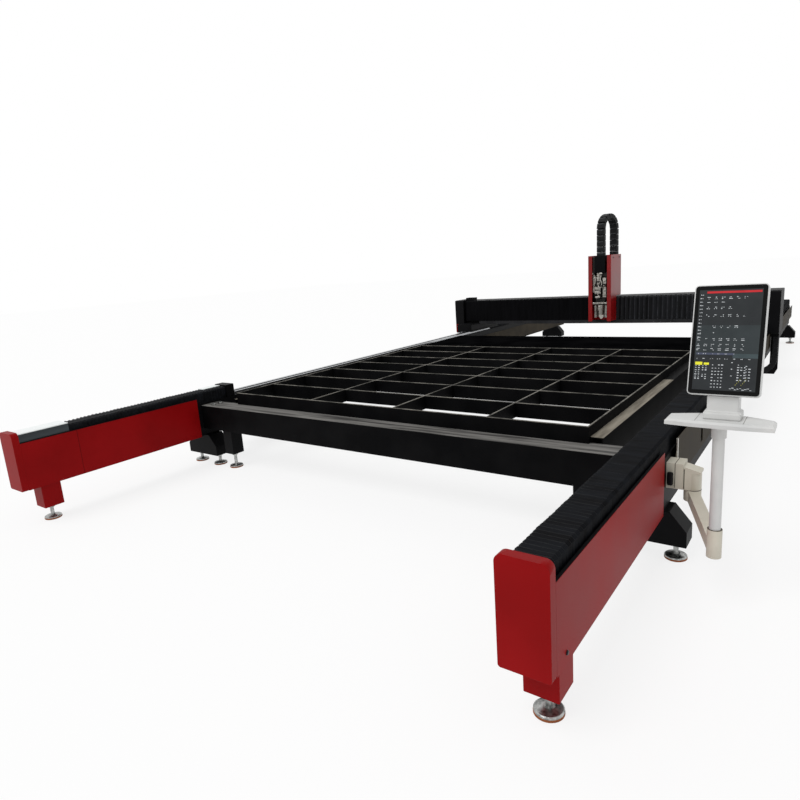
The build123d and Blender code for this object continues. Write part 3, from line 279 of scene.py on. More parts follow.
finish_of = {
    "red_paint": coat["red_powder_coat"], "black_paint": coat["black_powder_coat"],
    "grey_panel": coat["grey_brown_paint"], "bellows_cloth": cloth, "ground_steel": steel, "zinc": zinc,
    "foot_rubber": rubber, "chain_plastic": nylon, "aluminium": aluminium,
    "white_paint": coat["white_powder_coat"], "beige_paint": coat["pale_beige_powder_coat"], "screen": glass,
}
special = {
    "bed_grid": bar_paint, "crossbeam_front": beam_paint, "bed_sides": ledge_paint,
    "end_box_lid": polished, "end_box": dark_steel, "bed_rear_plate": coat["dusty_black_coat"],
    "gantry_lip": coat["lip_black_coat"], "head_housing": coat["glossy_red_coat"],
    # The gantry cloths are painted shade on the left cover and painted sheen on the right cover.
    "cross_bellows_left": taut_shaded_cloth, "cross_bellows_right": folded_sheen_cloth, "console_knob": knob_black,
}
for name, piece in nodes.items():
    piece.data.materials.clear()
    piece.data.materials.append(special.get(name, finish_of[slot_of[name]]))
print("finishes:", len(finish_of) + len(special))

# %% [markdown]
# Folded sheet never has a knife edge. The painted covers get a small rounded edge from a Bevel
# modifier on a copy whose loose triangles have been merged. The copy then stands for the solid.

# %% Rounded edges on the covers
MERGE = 0.01 * MM
FLAT_DEG, SHARP_DEG = 1, 40


def placed(name, data):
    """New object in the scene."""
    piece = bpy.data.objects.new(name, data)
    bpy.context.scene.collection.objects.link(piece)
    return piece


def merged_copy(node):
    """Unparented copy of a solid with its triangles merged into flat faces."""
    mesh = nodes[node].data.copy()
    work = bmesh.new()
    work.from_mesh(mesh)
    bmesh.ops.remove_doubles(work, verts=work.verts, dist=MERGE)
    bmesh.ops.dissolve_limit(work, angle_limit=math.radians(FLAT_DEG), verts=work.verts, edges=work.edges)
    work.to_mesh(mesh)
    work.free()
    return placed(node + "_dressed", mesh)


def evaluated_mesh(piece):
    """Mesh that a piece's modifiers or its curve make."""
    graph = bpy.context.evaluated_depsgraph_get()
    return bpy.data.meshes.new_from_object(piece.evaluated_get(graph), depsgraph=graph)


def freeze(piece):
    """Turns what the modifiers make into the piece's own mesh."""
    mesh = evaluated_mesh(piece)
    piece.modifiers.clear()
    piece.data = mesh
    return piece


def soften(piece, width_mm):
    """Rounds the edges of a piece that turn by more than SHARP_DEG."""
    bevel = piece.modifiers.new("rounded_edges", "BEVEL")
    bevel.width = width_mm * MM
    bevel.segments = 2
    bevel.limit_method = "ANGLE"
    bevel.angle_limit = math.radians(SHARP_DEG)
    return freeze(piece)


def put(piece, body, slot, *stands_for):
    """Gives a finished piece its body and hides the solids it stands for; slot is not used."""
    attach(piece, body)
    if stands_for:
        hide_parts(*stands_for)


EDGE_MM = {
    "front_cap_left": 6.0, "front_cap_right": 6.0, "end_cover_left": 5.0, "end_cover_right": 5.0,
    "saddle_left": 3.0, "saddle_right": 3.0, "console_bracket": 3.0, "console_neck": 5.0, "head_top": 3.0,
    "rail_brackets": 3.0, "crossbeam_legs": 4.0, "front_legs": 4.0, "bellows_frame": 4.0, "console_arm": 4.0,
}
for node, width in EDGE_MM.items():
    put(soften(merged_copy(node), width), body_of[node], slot_of[node], node)
print("rounded:", len(EDGE_MM))

# %% [markdown]
# Pleats, bolts and feet all repeat one small shape. A tree of Geometry Nodes puts that shape on
# the points of a helper mesh, makes it real, ruffles it where it is cloth, and gives it its finish.

# %% One tree for whatever repeats
def tree_start(name, *numbers):
    """New geometry tree with a mesh, a shape, a finish and named numbers as inputs; and its input node."""
    tree = bpy.data.node_groups.new(name, "GeometryNodeTree")
    sockets = [("Geometry", "Geometry"), ("Shape", "Object"), ("Finish", "Material")]
    for label, kind in sockets + [(label, "Float") for label in numbers]:
        tree.interface.new_socket(label, in_out="INPUT", socket_type="NodeSocket" + kind)
    tree.interface.new_socket("Geometry", in_out="OUTPUT", socket_type="NodeSocketGeometry")
    return tree, add(tree, "NodeGroupInput")


def real_copies(tree, start, points, *turns):
    """Copies of the shape on points, as real geometry."""
    shape = add(tree, "GeometryNodeObjectInfo", links=[(start.outputs["Shape"], "Object")])
    copies = add(tree, "GeometryNodeInstanceOnPoints",
                 links=[(points, "Points"), (shape.outputs["Geometry"], "Instance"), *turns])
    return add(tree, "GeometryNodeRealizeInstances", links=[(copies.outputs[0], "Geometry")]).outputs[0]


def tree_end(tree, start, geometry):
    """Gives the geometry its finish and ends the tree."""
    painted = add(tree, "GeometryNodeSetMaterial",
                  links=[(geometry, "Geometry"), (start.outputs["Finish"], "Material")])
    add(tree, "NodeGroupOutput", links=[(painted.outputs[0], 0)])
    return tree


def repeat_tree():
    """Node tree: a shape on every point of the mesh, welded and ruffled by noise."""
    tree, start = tree_start("shape_on_points", "Weld", "Ruffle", "Ruffle size")
    real = real_copies(tree, start, start.outputs["Geometry"])
    weld = add(tree, "GeometryNodeMergeByDistance",
               links=[(real, "Geometry"), (start.outputs["Weld"], "Distance")])
    noise = add(tree, "ShaderNodeTexNoise", {"Detail": 1.0}, [(start.outputs["Ruffle size"], "Scale")])
    centred = add(tree, "ShaderNodeVectorMath", {"operation": "SUBTRACT", 1: (0.5, 0.5, 0.5)},
                  [(noise.outputs["Color"], 0)])
    push = add(tree, "ShaderNodeVectorMath", {"operation": "SCALE"},
               [(centred.outputs[0], 0), (start.outputs["Ruffle"], "Scale")])
    ruffled = add(tree, "GeometryNodeSetPosition",
                  links=[(weld.outputs[0], "Geometry"), (push.outputs[0], "Offset")])
    return tree_end(tree, start, ruffled.outputs[0])


REPEAT = repeat_tree()


def mesh_piece(name, points, faces=(), edges=()):
    """Object from points in metres, and faces or edges."""
    mesh = bpy.data.meshes.new(name)
    mesh.from_pydata([tuple(p) for p in points], list(edges), [tuple(f) for f in faces])
    return placed(name, mesh)


def run_tree(piece, tree, shape, **values):
    """Runs a node tree on a piece and keeps the result as its mesh."""
    modifier = piece.modifiers.new("repeat", "NODES")
    modifier.node_group = tree
    given = {"Shape": shape, **{name.replace("_", " ").capitalize(): v for name, v in values.items()}}
    for socket in tree.interface.items_tree:
        if socket.in_out == "INPUT" and socket.name in given:
            modifier[socket.identifier] = given[socket.name]
    freeze(piece)
    bpy.data.objects.remove(shape)
    return piece


def repeated(name, points, shape, material, **values):
    """Plain mesh of a shape at every point."""
    return run_tree(mesh_piece(name, points), REPEAT, shape, finish=material, **values)

# %% [markdown]
# Three more helpers make small solids: a turned shape from a profile, a block with rounded edges
# between two corners, and one mesh out of several.

# %% Turned shapes and blocks
TURNS = {"Z": Matrix(), "-Y": Matrix.Rotation(math.pi / 2, 4, "X"),
         "X": Matrix.Rotation(math.pi / 2, 4, "Y")}


def ring_faces(rings, sides):
    """Faces of a closed stack of rings, with as many points in each ring as it has sides."""
    faces = []
    for ring in range(rings - 1):
        low, high = ring * sides, (ring + 1) * sides
        for i in range(sides):
            j = (i + 1) % sides
            faces.append((low + i, low + j, high + j, high + i))
    faces.append(tuple(range(sides))[::-1])
    faces.append(tuple((rings - 1) * sides + i for i in range(sides)))
    return faces


def lathe(name, profile, sides, at=(0, 0, 0), axis="Z"):
    """Closed round shape from (radius, height) pairs in millimetres, along an axis from a point."""
    points = []
    for radius, height in profile:
        for i in range(sides):
            turn = 2 * math.pi * i / sides
            points.append((radius * MM * math.cos(turn), radius * MM * math.sin(turn), height * MM))
    piece = mesh_piece(name, points, ring_faces(len(profile), sides))
    piece.data.transform(Matrix.Translation(at) @ TURNS[axis])
    return piece


def block(name, low, high, edge_mm=3.0):
    """Block between two corners with rounded edges."""
    (x0, y0, z0), (x1, y1, z1) = low, high
    points = [(x, y, z) for z in (z0, z1) for x, y in ((x0, y0), (x1, y0), (x1, y1), (x0, y1))]
    faces = [(3, 2, 1, 0), (4, 5, 6, 7), (0, 1, 5, 4), (1, 2, 6, 5), (2, 3, 7, 6), (3, 0, 4, 7)]
    return soften(mesh_piece(name, points, faces), edge_mm)


def joined(name, pieces, material):
    """One mesh from several pieces, with one finish."""
    work = bmesh.new()
    for piece in pieces:
        work.from_mesh(piece.data)
        bpy.data.objects.remove(piece)
    mesh = bpy.data.meshes.new(name)
    work.to_mesh(mesh)
    work.free()
    mesh.materials.append(material)
    return placed(name, mesh)

# %% [markdown]
# Each levelling foot is a zinc plated disc on a rubber ring, with a threaded stem. The solids
# have twelve flats; here the discs become round. The places come from the rubber solids.

# %% Round levelling feet
def centres(node):
    """Middle of each loose part of a solid, seen from above."""
    work = bmesh.new()
    work.from_mesh(nodes[node].data)
    bmesh.ops.remove_doubles(work, verts=work.verts, dist=MERGE)
    left, found = set(work.verts), []
    while left:
        island = [left.pop()]
        for vert in island:
            near = {edge.other_vert(vert) for edge in vert.link_edges} & left
            left -= near
            island.extend(near)
        found.append(tuple((min(axis) + max(axis)) / 2 for axis in zip(*[v.co.xy for v in island])))
    work.free()
    return sorted(found)


feet = centres("foot_rubbers")
on_floor = [(x, y, 0.0) for x, y in feet]
rubber_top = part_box("foot_rubbers")[1].z / MM
pad_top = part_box("foot_pads")[1].z / MM
RIM_MM = [(48, 0), (51, 2), (51, rubber_top - 3), (49, rubber_top)]
DISC_MM = [(50, rubber_top - 2), (50, rubber_top + 4), (46, rubber_top + 7), (20, pad_top)]
rim, disc = lathe("rim_shape", RIM_MM, 32), lathe("disc_shape", DISC_MM, 32)
put(repeated("foot_rims", on_floor, rim, rubber), "base", "foot_rubber", "foot_rubbers")
put(repeated("foot_discs", on_floor, disc, zinc), "base", "zinc", "foot_pads")
print("feet:", len(feet))

# %% [markdown]
# The bellows are sewn into narrow pleats. One pleat is a folded strip: it rises from the valley
# to the ridge and falls again. Repeated along the travel it makes the whole cover, a little
# ruffle makes it cloth, and the blend lets it open and close when the gantry or the head moves.

# %% One pleat, repeated
WELD = 0.1 * MM
RUFFLE_SPOT_MM = 70


def pleats(name, ridge, valley, axis, start, end, pitch_mm, material, ruffle_mm):
    """Pleats along X or Y from start to end; ridge and valley are profiles across the travel."""
    count = max(2, round((end - start) / (pitch_mm * MM)))
    step = (end - start) / count

    def ring(profile, t):
        return [(a, t, b) if axis == "Y" else (t, a, b) for a, b in profile]

    points = ring(valley, 0.0) + ring(ridge, step / 2) + ring(valley, step)
    width = len(ridge)
    faces = [(r + i, r + i + 1, r + width + i + 1, r + width + i)
             for r in (0, width) for i in range(width - 1)]
    starts = [start + i * step for i in range(count)]
    first = [(0.0, t, 0.0) if axis == "Y" else (t, 0.0, 0.0) for t in starts]
    piece = repeated(name, first, mesh_piece("pleat", points, faces), material, weld=WELD,
                     ruffle=ruffle_mm * MM, ruffle_size=1000 / RUFFLE_SPOT_MM)
    print(name, "pleats:", count)
    return piece


def pull(piece, a, b, start, end, node):
    """A piece that stretches between two bodies in place of a solid."""
    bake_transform(piece, a, b, start, end)
    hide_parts(node)

# %% [markdown]
# The rail covers are arches over the rails, about 26 mm from ridge to ridge.

# %% Covers on the rails
RAIL_PLEAT_MM = 26.0
RAIL_RUFFLE_MM = 6.0
FOLD = 5.0 * MM
CORNER = 10.0 * MM


def rail_arch(low, high, inset):
    """Profile across a rail, from the left foot over the top to the right foot."""
    x0, x1, z1 = low.x + inset, high.x - inset, high.z - inset
    return [(x0, low.z), (x0, z1 - CORNER), (x0 + CORNER, z1), ((x0 + x1) / 2, z1), (x1 - CORNER, z1),
            (x1, z1 - CORNER), (x1, low.z)]


def rail_cover(name, low, high):
    """Pleated arch from end to end of a bellows box."""
    return pleats(name, rail_arch(low, high, 0.0), rail_arch(low, high, FOLD), "Y", low.y, high.y,
                  RAIL_PLEAT_MM, cloth, RAIL_RUFFLE_MM)


def two_sides(node):
    """Boxes of a solid's two sides: left of the middle and right of it."""
    middle = sum(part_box(node), Vector()).x / 2
    halves = [], []
    for vert in nodes[node].data.vertices:
        halves[vert.co.x >= middle].append(vert.co)
    return [(Vector(map(min, zip(*half))), Vector(map(max, zip(*half)))) for half in halves]


for label, other in (("right", "gantry"), ("left", "bellows_end")):
    low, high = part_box("bellows_front_" + label)
    pull(rail_cover(label + "_front_bellows", low, high), "base", other, low, (low.x, high.y, low.z),
         "bellows_front_" + label)
for label, (low, high) in zip(("left", "right"), two_sides("bellows_rear")):
    pull(rail_cover(label + "_rear_bellows", low, high), "base", "gantry", (low.x, high.y, low.z), low,
         "bellows_rear")

# %% [markdown]
# The gantry covers hang over the front of the beam, left and right of the head. Their pleats
# stand upright and are about 50 mm apart. The left cover is pulled almost flat, the right one
# keeps deep folds.

# %% Covers on the gantry
GANTRY_PLEAT_MM = 50.0
GANTRY_RUFFLE_MM = 1.0
FOLD_SHARES = {"cross_bellows_left": 0.5, "cross_bellows_right": 3}


def beam_apron(low, high, inset):
    """Profile from the back of the top edge to the foot of the front."""
    y0, z1 = low.y + inset, high.z - inset
    return [(high.y, z1), (y0 + CORNER, z1), (y0, z1 - CORNER), (y0, low.z)]


for node, share in FOLD_SHARES.items():
    low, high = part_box(node)
    ridge, valley = beam_apron(low, high, 0.0), beam_apron(low, high, share * FOLD)
    piece = pleats(node + "_pleats", ridge, valley, "X", low.x, high.x, GANTRY_PLEAT_MM, special[node],
                   GANTRY_RUFFLE_MM)
    fixed, moving = (low.x, high.x) if node.endswith("left") else (high.x, low.x)
    pull(piece, "gantry", "carriage", (fixed, low.y, low.z), (moving, low.y, low.z), node)

# %% [markdown]
# Every ridge of the folded cover is sewn with a narrow piping, a bound edge a little paler than the cloth;
# the paler colour is painted highlight, the light that the ridges catch. It is one thin strip, repeated on
# the ridges, and it stretches with them.

# %% Piping on the ridges
PIPING_HALF = 3.5 * MM
PIPING_PROUD = 0.8 * MM
# The piping's paler colour is painted highlight on the ridges.
piping_cloth = finish("painted_highlight_piping", "#1b1c1f", "#33353a", 30, 0.5, specular=0.2)[0]
low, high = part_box("cross_bellows_right")
count = round((high.x - low.x) / (GANTRY_PLEAT_MM * MM))
step = (high.x - low.x) / count
strip = beam_apron(low, high, -PIPING_PROUD)
points = [(t, y, z) for t in (-PIPING_HALF, PIPING_HALF) for y, z in strip]
width = len(strip)
shape = mesh_piece("piping_strip", points, [(i, i + 1, width + i + 1, width + i) for i in range(width - 1)])
ridges = [(low.x + (i + 0.5) * step, 0.0, 0.0) for i in range(count)]
piping = repeated("gantry_piping", ridges, shape, piping_cloth)
pull(piping, "gantry", "carriage", (high.x, low.y, low.z), low, "cross_bellows_right")
print("piped ridges:", count)

# %% [markdown]
# A cable chain is a row of links. A second tree lays a curve through the points of a path, steps
# along it by the pitch, and turns a link into the curve's direction at each step. The chain over
# the head is drawn in the plane of Y and Z and then turned a little to the right.

# %% Links along a path
def link_tree():
    """Node tree: a shape at even steps along a path in the plane of Y and Z."""
    tree, start = tree_start("links_on_path", "Pitch")
    path = add(tree, "GeometryNodeMeshToCurve", links=[(start.outputs["Geometry"], "Mesh")])
    steps = add(tree, "GeometryNodeResampleCurve", {"mode": "LENGTH"},
                [(path.outputs[0], "Curve"), (start.outputs["Pitch"], "Length")])
    tangent = add(tree, "GeometryNodeInputTangent")
    turn = add(tree, "FunctionNodeAlignRotationToVector", {"axis": "Z", "pivot_axis": "X"},
               [(tangent.outputs[0], "Vector")])
    return tree_end(tree, start, real_copies(tree, start, steps.outputs[0], (turn.outputs[0], "Rotation")))


LINKS = link_tree()


def laid(name, path, shape, material, pitch_mm, stand):
    """Copies of a shape along a path, moved to where the path stands."""
    edges = [(i, i + 1) for i in range(len(path) - 1)]
    piece = run_tree(mesh_piece(name, path, edges=edges), LINKS, shape, finish=material, pitch=pitch_mm * MM)
    piece.data.transform(stand)
    return piece


ARCH_R = 138 * MM
ARCH_DROP = 167 * MM
ARCH_STEPS = 24
ARCH_TURN = math.radians(-13)
LINK_MM = 62.0
LINK_HALF = 26.0 * MM
LINK_WIDE = 44.0 * MM
BAR_INSET, BAR_PROUD = 6 * MM, 1 * MM
BAR_FROM_END = 16 * MM, 8 * MM
low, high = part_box("head_chain")
arc_z = high.z - ARCH_DROP
arc = [math.pi - math.pi * i / ARCH_STEPS for i in range(ARCH_STEPS + 1)]
path = [(0, -ARCH_R, low.z)] + [(0, ARCH_R * math.cos(a), arc_z + ARCH_R * math.sin(a)) for a in arc]
path.append((0, ARCH_R, low.z))
middle = (low + high) / 2
stand = Matrix.Translation((middle.x, middle.y, 0)) @ Matrix.Rotation(ARCH_TURN, 4, "Z")
half = LINK_MM * MM / 2
link = block("link_shape", (-LINK_WIDE, -LINK_HALF, -half), (LINK_WIDE, LINK_HALF, half), 6.0)
bar_x, bar_y = LINK_WIDE - BAR_INSET, LINK_HALF + BAR_PROUD
bar_z = [half - back for back in BAR_FROM_END]
bar = block("bar_shape", (-bar_x, -bar_y, bar_z[0]), (bar_x, bar_y, bar_z[1]), 1.0)
for name, shape, material in (("head_chain_links", link, nylon), ("head_chain_bars", bar, link_grey)):
    piece = laid(name, path, shape, material, LINK_MM, stand)
    pull(piece, "carriage", "cutting_head", (low.x, high.y, low.z), low, "head_chain")
print("links:", round((2 * (arc_z - low.z) + math.pi * ARCH_R) / (LINK_MM * MM)))

# %% [markdown]
# The long chain beside the left rail keeps the shape of its solid, as a copy that stretches.

# %% Chain beside the rail
low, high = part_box("rail_chain")
pull(merged_copy("rail_chain"), "base", "gantry", low, (low.x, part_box("saddle_left")[1].y, low.z),
     "rail_chain")
print("rail chain from", round(low.y, 2), "to", round(high.y, 2))

# %% [markdown]
# The flexible duct on the gantry's right end hangs down and turns inwards. It is a closed chain
# of short rings, so the same tree lays rings along a path with a quarter turn.

# %% Duct on the gantry
DUCT_R = 150 * MM
DUCT_HALF = 28 * MM
TOP_GAP, END_GAP = 4 * MM, 8 * MM
BEND_STEPS = 16
RING_MM = 22.0
RING_SHARE, CORE_SHARE = 0.46, 0.6
RING_HALF, CORE_HALF, CORE_INSET = 27 * MM, 23 * MM, 4 * MM
low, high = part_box("cable_duct")
half_y = (high.y - low.y) / 2
turn_x, turn_z = high.x - DUCT_HALF - DUCT_R, low.z + DUCT_HALF + DUCT_R
bend = [math.pi / (2 * BEND_STEPS) * i for i in range(BEND_STEPS + 1)]
path = [(0, DUCT_R, high.z - TOP_GAP)]
path += [(0, DUCT_R * math.cos(a), turn_z - DUCT_R * math.sin(a)) for a in bend]
path.append((0, low.x - turn_x + END_GAP, turn_z - DUCT_R))
stand = Matrix.Translation((turn_x, low.y + half_y, 0)) @ Matrix.Rotation(-math.pi / 2, 4, "Z")
ring_half, core_half = RING_SHARE * RING_MM * MM, CORE_SHARE * RING_MM * MM
ring = block("ring_shape", (-half_y, -RING_HALF, -ring_half), (half_y, RING_HALF, ring_half), 5.0)
core_y = half_y - CORE_INSET
core = block("core_shape", (-core_y, -CORE_HALF, -core_half), (core_y, CORE_HALF, core_half), 2.0)
for name, shape in (("duct_rings", ring), ("duct_core", core)):
    put(laid(name, path, shape, nylon, RING_MM, stand), "gantry", "chain_plastic", "cable_duct")
print("duct from z", round(high.z, 3), "to", round(low.z, 3))

# %% [markdown]
# The cutting head sits in the red housing. It is a stack of machined parts on a black anodised
# plate: a turned tube on top, a lens block with two drawers, a column of water fittings, a
# bright flange, and guards on both sides of the nozzle. Every place is a share of the solid's
# box, so the stack follows the solid.

# %% Cutting head
DARK_SHARES = {
    "back_plate": ((-0.16, 0.62, 0.0), (1.14, 1.0, 1.0)),
    "cable_cover": ((-0.16, 0.10, 0.98), (0.14, 1.0, 1.49)),
    "neck_block": ((0.14, 0.25, 0.085), (0.86, 0.62, 0.20)),
    "drawer_frame": ((0.08, 0.10, 0.30), (0.60, 0.62, 0.62)),
    "cable_gland": ((0.70, 0.20, 0.88), (1.10, 0.60, 1.0)),
    "side_box": ((-0.16, 0.30, 0.20), (0.06, 0.64, 0.36)),
    "hose_clip": ((0.20, -0.02, 0.70), (0.44, 0.30, 0.75)),
    "sensor": ((0.64, 0.10, 0.56), (0.96, 0.24, 0.66)),
}
BRIGHT_SHARES = {
    "flange": ((-0.03, 0.04, 0.035), (1.03, 0.62, 0.085)),
    "upper_drawer": ((0.12, 0.02, 0.48), (0.56, 0.12, 0.57)),
    "lower_drawer": ((0.12, 0.02, 0.36), (0.56, 0.12, 0.45)),
    "fitting_column": ((0.66, 0.22, 0.24), (0.92, 0.62, 0.84)),
    "side_rail": ((-0.16, 0.16, 0.40), (0.08, 0.64, 0.94)),
    "left_ear": ((-0.14, 0.04, 0.955), (0.02, 0.40, 1.0)),
    "right_ear": ((0.46, 0.04, 0.955), (0.68, 0.40, 1.0)),
    "low_drawer": ((0.16, 0.04, 0.225), (0.50, 0.14, 0.275)),
    "lamp_box": ((0.98, 0.25, 0.30), (1.13, 0.64, 0.70)),
}
TUBE_MM = [(29, 0), (29, 14), (35, 17), (35, 30), (29, 33), (29, 62), (36, 65), (36, 84), (26, 88),
           (26, 128)]
FITTING_MM, FITTING_SHARES = [(11, 0), (11, 8), (7, 9), (7, 20)], (0.32, 0.46, 0.60, 0.74)
KNOB_MM, KNOB_SHARES = [(6, 0), (6, 2)], (0.405, 0.525)
PIPES = {
    "air_pipe": (6, (0.60, 0.5, 0.99), (0.60, 0.10, 0.95), (0.52, 0.06, 0.78), (0.66, 0.05, 0.70),
                 (0.60, 0.05, 0.55), (0.76, 0.30, 0.50)),
    "water_pipe": (5, (0.10, 0.5, 0.97), (0.10, 0.08, 0.92), (0.22, 0.05, 0.72), (0.06, 0.05, 0.62),
                   (0.10, 0.40, 0.50)),
    "sensor_pipe": (4, (0.34, 0.3, 0.66), (0.34, 0.0, 0.64), (0.62, 0.0, 0.46), (0.30, 0.0, 0.34),
                    (0.56, 0.0, 0.26), (0.60, 0.4, 0.22)),
}
GUARD_GAP, GUARD_DROP, GUARD_FOOT_SHARE = 4 * MM, 2 * MM, 0.10
GUARD_FRONT, GUARD_BACK = 20 * MM, 6 * MM
low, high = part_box("head_optics")
size = high - low


def inside(u, v, w):
    """Point of the head by shares of its width, depth and height."""
    return Vector((low.x + u * size.x, low.y + v * size.y, low.z + w * size.z))


def bent_pipe(name, route, radius_mm):
    """Stiff metal pipe that follows a smooth line near the points of its route."""
    curve = bpy.data.curves.new(name, "CURVE")
    curve.dimensions = "3D"
    curve.bevel_depth = radius_mm * MM
    curve.bevel_resolution = 2
    curve.use_fill_caps = True
    spline = curve.splines.new("NURBS")
    spline.points.add(len(route) - 1)
    for point, place in zip(spline.points, route):
        point.co = (*place, 1.0)
    spline.order_u = 3
    spline.use_endpoint_u = True
    drawn = placed(name, curve)
    mesh = evaluated_mesh(drawn)
    bpy.data.objects.remove(drawn)
    return placed(name, mesh)


dark_parts = [block(name, inside(*a), inside(*b)) for name, (a, b) in DARK_SHARES.items()]
bright_parts = [lathe("fibre_tube", TUBE_MM, 20, inside(0.32, 0.36, 0.64))]
bright_parts += [block(name, inside(*a), inside(*b), 2.0) for name, (a, b) in BRIGHT_SHARES.items()]
bright_parts += [lathe("fitting", FITTING_MM, 12, inside(0.79, 0.22, w), "-Y") for w in FITTING_SHARES]
bright_parts += [lathe("drawer_knob", KNOB_MM, 12, inside(0.34, 0.02, w), "-Y") for w in KNOB_SHARES]
bright_parts += [bent_pipe(name, [inside(*share) for share in route], radius)
                 for name, (radius, *route) in PIPES.items()]
put(joined("head_dark_parts", dark_parts, anodised), "cutting_head", "aluminium", "head_optics")
put(joined("head_bright_parts", bright_parts, aluminium), "cutting_head", "aluminium", "head_optics")

tip_low, tip_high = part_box("head_nozzle")
guard_z = tip_low.z + GUARD_FOOT_SHARE * (tip_high.z - tip_low.z), tip_high.z - GUARD_DROP
guard_x = (low.x + GUARD_GAP, tip_low.x - GUARD_GAP), (tip_high.x + GUARD_GAP, high.x - GUARD_GAP)
guards = [block("guard", (x0, tip_low.y + GUARD_FRONT, guard_z[0]), (x1, high.y - GUARD_BACK, guard_z[1]))
          for x0, x1 in guard_x]
put(joined("nozzle_guards", guards, aluminium), "cutting_head", "aluminium")
print("head parts:", len(dark_parts) + len(bright_parts) + len(guards))

# %% [markdown]
# The operator screen stands upright and leans back. Its frame is found from the glass solid: the
# lower front edge, the way up along the glass and the way out of it. The shell and the glass get
# their round corners here.

# %% Screen shell and glass
LEVEL = 0.1 * MM
CORNER_STEPS = 6
verts = [v.co.copy() for v in nodes["screen_glass"].data.vertices]
front_y = min(v.y for v in verts)
top_z = max(v.z for v in verts)
left_x, right_x = min(v.x for v in verts), max(v.x for v in verts)
foot = Vector((left_x, front_y, max(v.z for v in verts if v.y - front_y < LEVEL)))
crown = min((v for v in verts if top_z - v.z < LEVEL), key=lambda v: v.y)
rise = Vector((0, crown.y - foot.y, crown.z - foot.z))
across = Vector((right_x - left_x, 0, 0))
out = across.cross(rise).normalized()
on_glass = Matrix((across.normalized(), rise.normalized(), out)).transposed().to_4x4()
on_glass = Matrix.Translation(foot + across / 2 + rise / 2) @ on_glass
half_w, half_h = across.length / 2, rise.length / 2


def rounded_slab(name, material, rim_mm, radius_mm, back_mm, front_mm, edge_mm):
    """Slab with round corners, rim_mm larger than the glass, from back_mm to front_mm before it."""
    radius = radius_mm * MM
    wide, tall = half_w + rim_mm * MM - radius, half_h + rim_mm * MM - radius
    points = []
    for depth, inset in ((back_mm, edge_mm), (back_mm + edge_mm, 0), (front_mm - edge_mm, 0),
                         (front_mm, edge_mm)):
        reach = radius - inset * MM
        for cx, cy, first in ((1, 1, 0), (-1, 1, 90), (-1, -1, 180), (1, -1, 270)):
            for i in range(CORNER_STEPS + 1):
                turn = math.radians(first + 90 * i / CORNER_STEPS)
                points.append((cx * wide + reach * math.cos(turn), cy * tall + reach * math.sin(turn),
                               depth * MM))
    piece = mesh_piece(name, points, ring_faces(4, len(points) // 4))
    piece.data.transform(on_glass)
    piece.data.materials.append(material)
    return piece


shell = rounded_slab("screen_shell_rounded", coat["white_powder_coat"], 5, 15, -34, -1, 3)
pane = rounded_slab("screen_pane_rounded", glass, 1, 11, -4, 0.5, 1)
put(shell, "console_panel", "white_paint", "screen_shell")
put(pane, "console_panel", "screen", "screen_glass")
print("screen:", round(2 * half_w, 3), "x", round(2 * half_h, 3), "m")

# %% [markdown]
# The screen shows a generic set of colour fields: a red bar on top, columns of small pale marks, two
# yellow keys and a lighter band. The marks are little strokes of uneven length, drawn with a fixed
# seed. The fields glow a little, as a lit screen does. Places and sizes are shares of the glass.

# %% Fields on the screen
SEED = 11
GLOW = 0.15
ROW_CHANCE, CLUSTER_CHANCE = 0.62, 0.85
COLUMN_SHARES = [0.095 + 0.104 * i for i in range(8)]
ROWS = ((0.892, 1, 6, 2), (0.845, 1, 3, 1), (0.800, 1, 4, 2), (0.728, 1, 6, 2), (0.625, 2, 5, 2),
        (0.562, 0, 2, 1), (0.508, 0, 6, 2), (0.455, 0, 6, 2), (0.416, 0, 6, 2), (0.368, 0, 5, 1),
        (0.322, 0, 7, 1))
CLUSTERS = ((0.09, 0.135, 0.255, 2, 7), (0.19, 0.135, 0.255, 2, 7), (0.33, 0.06, 0.265, 4, 8),
            (0.60, 0.17, 0.29, 1, 3), (0.69, 0.13, 0.27, 3, 7), (0.80, 0.13, 0.26, 2, 6))
LIST_SHARES = ((0.085, 0.022, 0.008), (0.110, 0.016, 0.006))
PART_SHARES, LINE_SHARE = (-0.016, 0.0, 0.016), 0.014
chance = random.Random(SEED)
marks = []


def stroke(u, v, width, height):
    """A small mark of about this size."""
    w = width * chance.uniform(0.5, 1.3)
    marks.append((u - w / 2, v, u + w / 2, v + height * chance.uniform(0.6, 1.2)))


for v, first, last, lines in ROWS:
    for u in COLUMN_SHARES[first:last + 1]:
        for line in range(lines):
            for part in PART_SHARES:
                if chance.random() < ROW_CHANCE:
                    stroke(u + part, v - LINE_SHARE * line, 0.013, 0.0065)
for i in range(13):
    for u, width, height in LIST_SHARES:
        stroke(u, 0.915 - 0.033 * i, width, height)
for u0, v0, v1, columns, rows in CLUSTERS:
    for i in range(columns):
        for j in range(rows):
            if chance.random() < CLUSTER_CHANCE:
                stroke(u0 + 0.045 * i, v0 + (v1 - v0) * j / (rows - 1), 0.024, 0.008)
for i in range(9):
    stroke(0.60 + 0.035 * i, 0.052 + 0.008 * math.sin(2.1 * i), 0.030, 0.006)
dots = [(0.665 + 0.02 * i, 0.085 + 0.016 * (5 * i % 4)) for i in range(8)]
scribble = [(u, v, u + 0.007, v + 0.013) for u, v in dots]
FIELDS = (
    ("#222527", "#282b2d", [(0.055, 0.035, 0.945, 0.965)]),
    ("#2a3032", "#303638", [(0.055, 0.36, 0.945, 0.635)]),
    ("#374245", "#3f4a4d", [(0.60, 0.335, 0.945, 0.375)]),
    ("#ab2328", "#bb292e", [(0.165, 0.932, 0.93, 0.951)]),
    ("#414658", "#494e60", [(0.08, 0.362, 0.62, 0.380)]),
    ("#d2ce30", "#e0dc38", [(0.075, 0.266, 0.178, 0.294), (0.20, 0.268, 0.275, 0.288)]),
    ("#878442", "#97944a", scribble),
    ("#b1b5b8", "#c1c5c8", marks),
)


